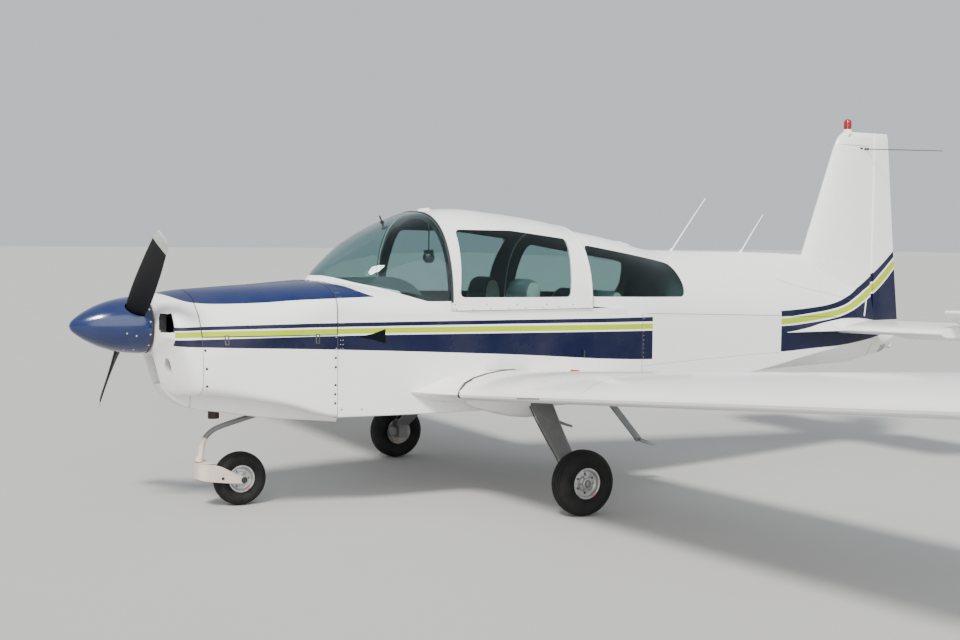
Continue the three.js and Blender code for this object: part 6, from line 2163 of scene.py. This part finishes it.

# Canopy grip on the roof and the lip round the canopy's rear edge, with a thin dark strip just behind the lip
# as painted shadow of its step.
roof_grip = gathered("canopy_grip", [plate_mesh(hit_top(canopy_skin, 1035), 74, 46, 13, 10)])
fit(roof_grip, white_paint, "canopy")
rear_arch = hood_arch(CANOPY_REAR_X + 9)
rear_lip = gathered("canopy_rear_lip", [strip_mesh(rear_arch, 16, 3.0, 3.0)])
fit(rear_lip, white_paint, "canopy")
shadow_line = [(p + Vector((-10, 0, 0)), n) for p, n in rear_arch]
fit(gathered("canopy_rear_lip_shadow", [strip_mesh(shadow_line, 4, 1.0, 3.0)]), sealant, "canopy")
for name, pixels, width, proud, finish, slot in (
    ("rail_channels", [(590, 308), (627, 311)], 26, 1.5, white_paint, "white_paint"),
    # The dark strip along each rail's slot is painted shade inside the slot.
    ("rail_slots", [(593, 307.2), (624, 309.8)], 10, 3, dark_fasteners, "black_trim"),
):
    fit(strips_of(name, [along_pixels(rail_skin, pixels, 4)], width, proud), finish)

# Spinner screws round the rim and by each blade's cut-out.
SPINNER_SCREWS = [(14, 360 * (i + 0.35) / 14) for i in range(14)]
for side in (90, 270):
    turned = PROP["lean"] + side
    SPINNER_SCREWS += [(150, turned - 24), (150, turned + 24), (95, turned - 19), (95, turned + 19)]
spinner_screws = []
for along, degrees in SPINNER_SCREWS:
    out = Vector((0, math.cos(math.radians(degrees)), math.sin(math.radians(degrees))))
    foot = Vector((SPINNER_BACK_X + along, 0, THRUST_Z)) + out * at(SPINNER, 1, along)
    spinner_screws.append(head_mesh((foot, out), 5, 1.4))
fit(gathered("spinner_screws", spinner_screws), white_rivets, "airscrew")
RIM_SECTION = [(168, 0), (170.4, 0), (170.9, 8), (168.5, 8)]
rim_band = spun("spinner_rim", RIM_SECTION, (SPINNER_BACK_X, 0, THRUST_Z), (1, 0, 0), 72)
fit(rim_band, black_trim, "airscrew")

# Columns: x, half width, underside, top.
TAIL_FAIRING = [
    (-3000.3, 86, 745, 1000), (-3080, 70, 762, 985), (-3170, 52, 779, 968), (-3240, 36, 815, 950),
    (-3295, 20, 868, 935),
]
fairing_at = stations_of(("half", "bottom", "top"), TAIL_FAIRING)


def tail_fairing_ring(x):
    row = fairing_at(x)
    middle, high = (row["bottom"] + row["top"]) / 2, (row["top"] - row["bottom"]) / 2
    ring = []
    for c, s in around(48):
        power = 1.4 if s < 0 else 1
        across, rise = (math.copysign(abs(share) ** power, share) for share in (c, s))
        ring.append((x, row["half"] * across, middle + high * rise))
    return ring


tail_fairing = loft("tail_fairing_skin", [tail_fairing_ring(x) for x in spread(-3000.3, -3295, 20)])
fit(tail_fairing, livery_paint, node="tail_fairing")
# Dark strips across the fairing's rear are its ribs, with painted shade between them.
tail_ribs_and_shade = []
for x in (-3132, -3150, -3168, -3186):
    ring = tail_fairing_ring(x)
    spots = [(Vector(p), (Vector(p) - Vector((x, 0, 880))).normalized()) for p in ring[28:45]]
    tail_ribs_and_shade.append(strip_mesh(spots, 6, 1.5))
fit(gathered("tail_ribs_and_shade", tail_ribs_and_shade), dark_fasteners)
lens_white = finish_of(
    "lens_white", (0.72, 0.72, 0.70), (0.6, 0.6, 0.56), 0.2, 60, 900, (0.08, 0.15), 0.05, coat=0.8
)
LAMP_SECTION = [(0.1, 0), (26, 0), (26, 12), (22, 22), (12, 30), (0.1, 33)]
fit(spun("tail_lamp", LAMP_SECTION, (-3262, 0, 830), (-0.55, 0, -0.83), 32), lens_white)

tail_skin = skin_of(fin, rudder, cone_skin)
conduit = along_pixels(tail_skin, [(866, 300), (865, 308), (864, 316)], 4)
fit(strips_of("rudder_conduits", [conduit], 9, 5), white_paint)
RIVET_PIXELS = [(819.7 - i * 0.05, 252 + 5.2 * i) for i in range(8)]
RIVET_PIXELS += [(828 + 6 * i, 257 - 0.2 * i) for i in range(6)]
fit(heads_of("fin_rivets", from_pixels(tail_skin, RIVET_PIXELS), 3, 0.8, 8), steel_screws)

cap_skin = skin_of(fin_cap, fin)
CAP_SEAM = [(834.2, 144), (846, 144.6), (858, 145.5), (867.5, 146.2)]
STRAKE_SEAM = [(831.4, 325), (836, 327.6), (839.6, 330.2)]
for name, skin, pixels, step, width, proud, finish, slot in (
    ("cap_seam", cap_skin, CAP_SEAM, 3, 2.6, 0.4, sealant, "black_trim"),
    ("antenna_feet", cap_skin, [(860.3, 148.2), (868.8, 149)], 2, 14, 4, dark_fasteners, "black_trim"),
    # A dark strip beside the beacon's raised mount is painted shadow of its edge.
    ("beacon_mount_edge", cap_skin, [(850.4, 130.6), (849.2, 137)], 2, 7, 1, dark_fasteners, "black_trim"),
    ("strake_seams", skin_of(tailplane), STRAKE_SEAM, 2, 3, 0.5, sealant, "white_paint"),
):
    fit(strips_of(name, [along_pixels(skin, pixels, step)], width, proud), finish)

BEACON_X = -2752
LENS_HEIGHT = 84
red_lens = finish_of(
    "red_lens", (0.30, 0.002, 0.004), (0.12, 0.004, 0.004), 0.3, 60, 300, (0.08, 0.16), 0.1, coat=0.6
)
beacon_foot, beacon_top = (corner[2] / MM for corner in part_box("beacon"))
ribbed = [(0.1, 0), (31, 0)]
for z in spread(4, 56, 12):
    ribbed += [(31.5, z - 1.4), (30.2, z)]
ribbed += [(30, 61), (26, 73), (15, 81.5), (0.1, LENS_HEIGHT)]
dome = spun("beacon_lens", ribbed, (BEACON_X, 0, beacon_top - LENS_HEIGHT), (0, 0, 1), 48, 50)
fit(dome, red_lens, node="beacon")
base_ends = (BEACON_X, 0, beacon_foot + 6), (BEACON_X, 0, beacon_top - LENS_HEIGHT + 2)
fit(bevelled(rod(*base_ends, 38, 48, 33, "beacon_base"), 2), white_paint)


# Antennas
# Two glass-fibre whips on small feet along the spine, and steel V rods through the fin's cap.
for name, root_x, tip_x, tip_z in (("whip_front", -1018, -1330, 1979), ("whip_rear", -1679, -1894, 1867)):
    root_z = body_at(root_x)["crown"]
    middle = ((root_x + tip_x) / 2, 0, (root_z + tip_z) / 2 + 1)
    mast = joined(
        tube(f"{name}_rod", [(root_x, 0, root_z - 4), middle, (tip_x, 0, tip_z)], 6, 16, 3.5, 6),
        rod((root_x, 0, root_z - 6), (root_x - 7, 0, root_z + 16), 17, 28, 8),
    )
    fit(mast, white_paint, node=name)
paint(cad["nav_antenna"], black_trim)


# Floor and light
# A plain pale floor, a soft key from the photo's side and height, and an even pale surround.
FLOOR_HALF = 150000
corners = [(-1, -1), (1, -1), (1, 1), (-1, 1)]
floor = piece("floor", [(x * FLOOR_HALF, y * FLOOR_HALF, 0) for x, y in corners], [(0, 1, 2, 3)])
paint(floor, finish_of("floor", (0.42, 0.42, 0.41), (0.38, 0.38, 0.37), 0.3, 0.5, 60, (0.8, 0.9), 0.02))

# Name, direction it shines from, strength, angle it spans in degrees, colour.
LIGHTS = [
    ("key", (0.50, 0.46, 0.74), 5.4, 12, (1.0, 0.97, 0.93)),
    ("fill", (0.25, 1.0, 0.30), 1.7, 60, (0.95, 0.97, 1.0)),
]
for name, direction, strength, spans, tint in LIGHTS:
    data = bpy.data.lights.new(name, "SUN")
    data.angle = math.radians(spans)
    data.energy = strength
    data.color = tint
    lamp = bpy.data.objects.new(name, data)
    lamp.rotation_euler = Vector(direction).to_track_quat("Z", "Y").to_euler()
    bpy.context.collection.objects.link(lamp)
world = bpy.data.worlds.new("studio")
bpy.context.scene.world = world
world.use_nodes = True
surround = world.node_tree.nodes["Background"].inputs
surround["Color"].default_value = (0.88, 0.92, 0.98, 1)
surround["Strength"].default_value = 0.78
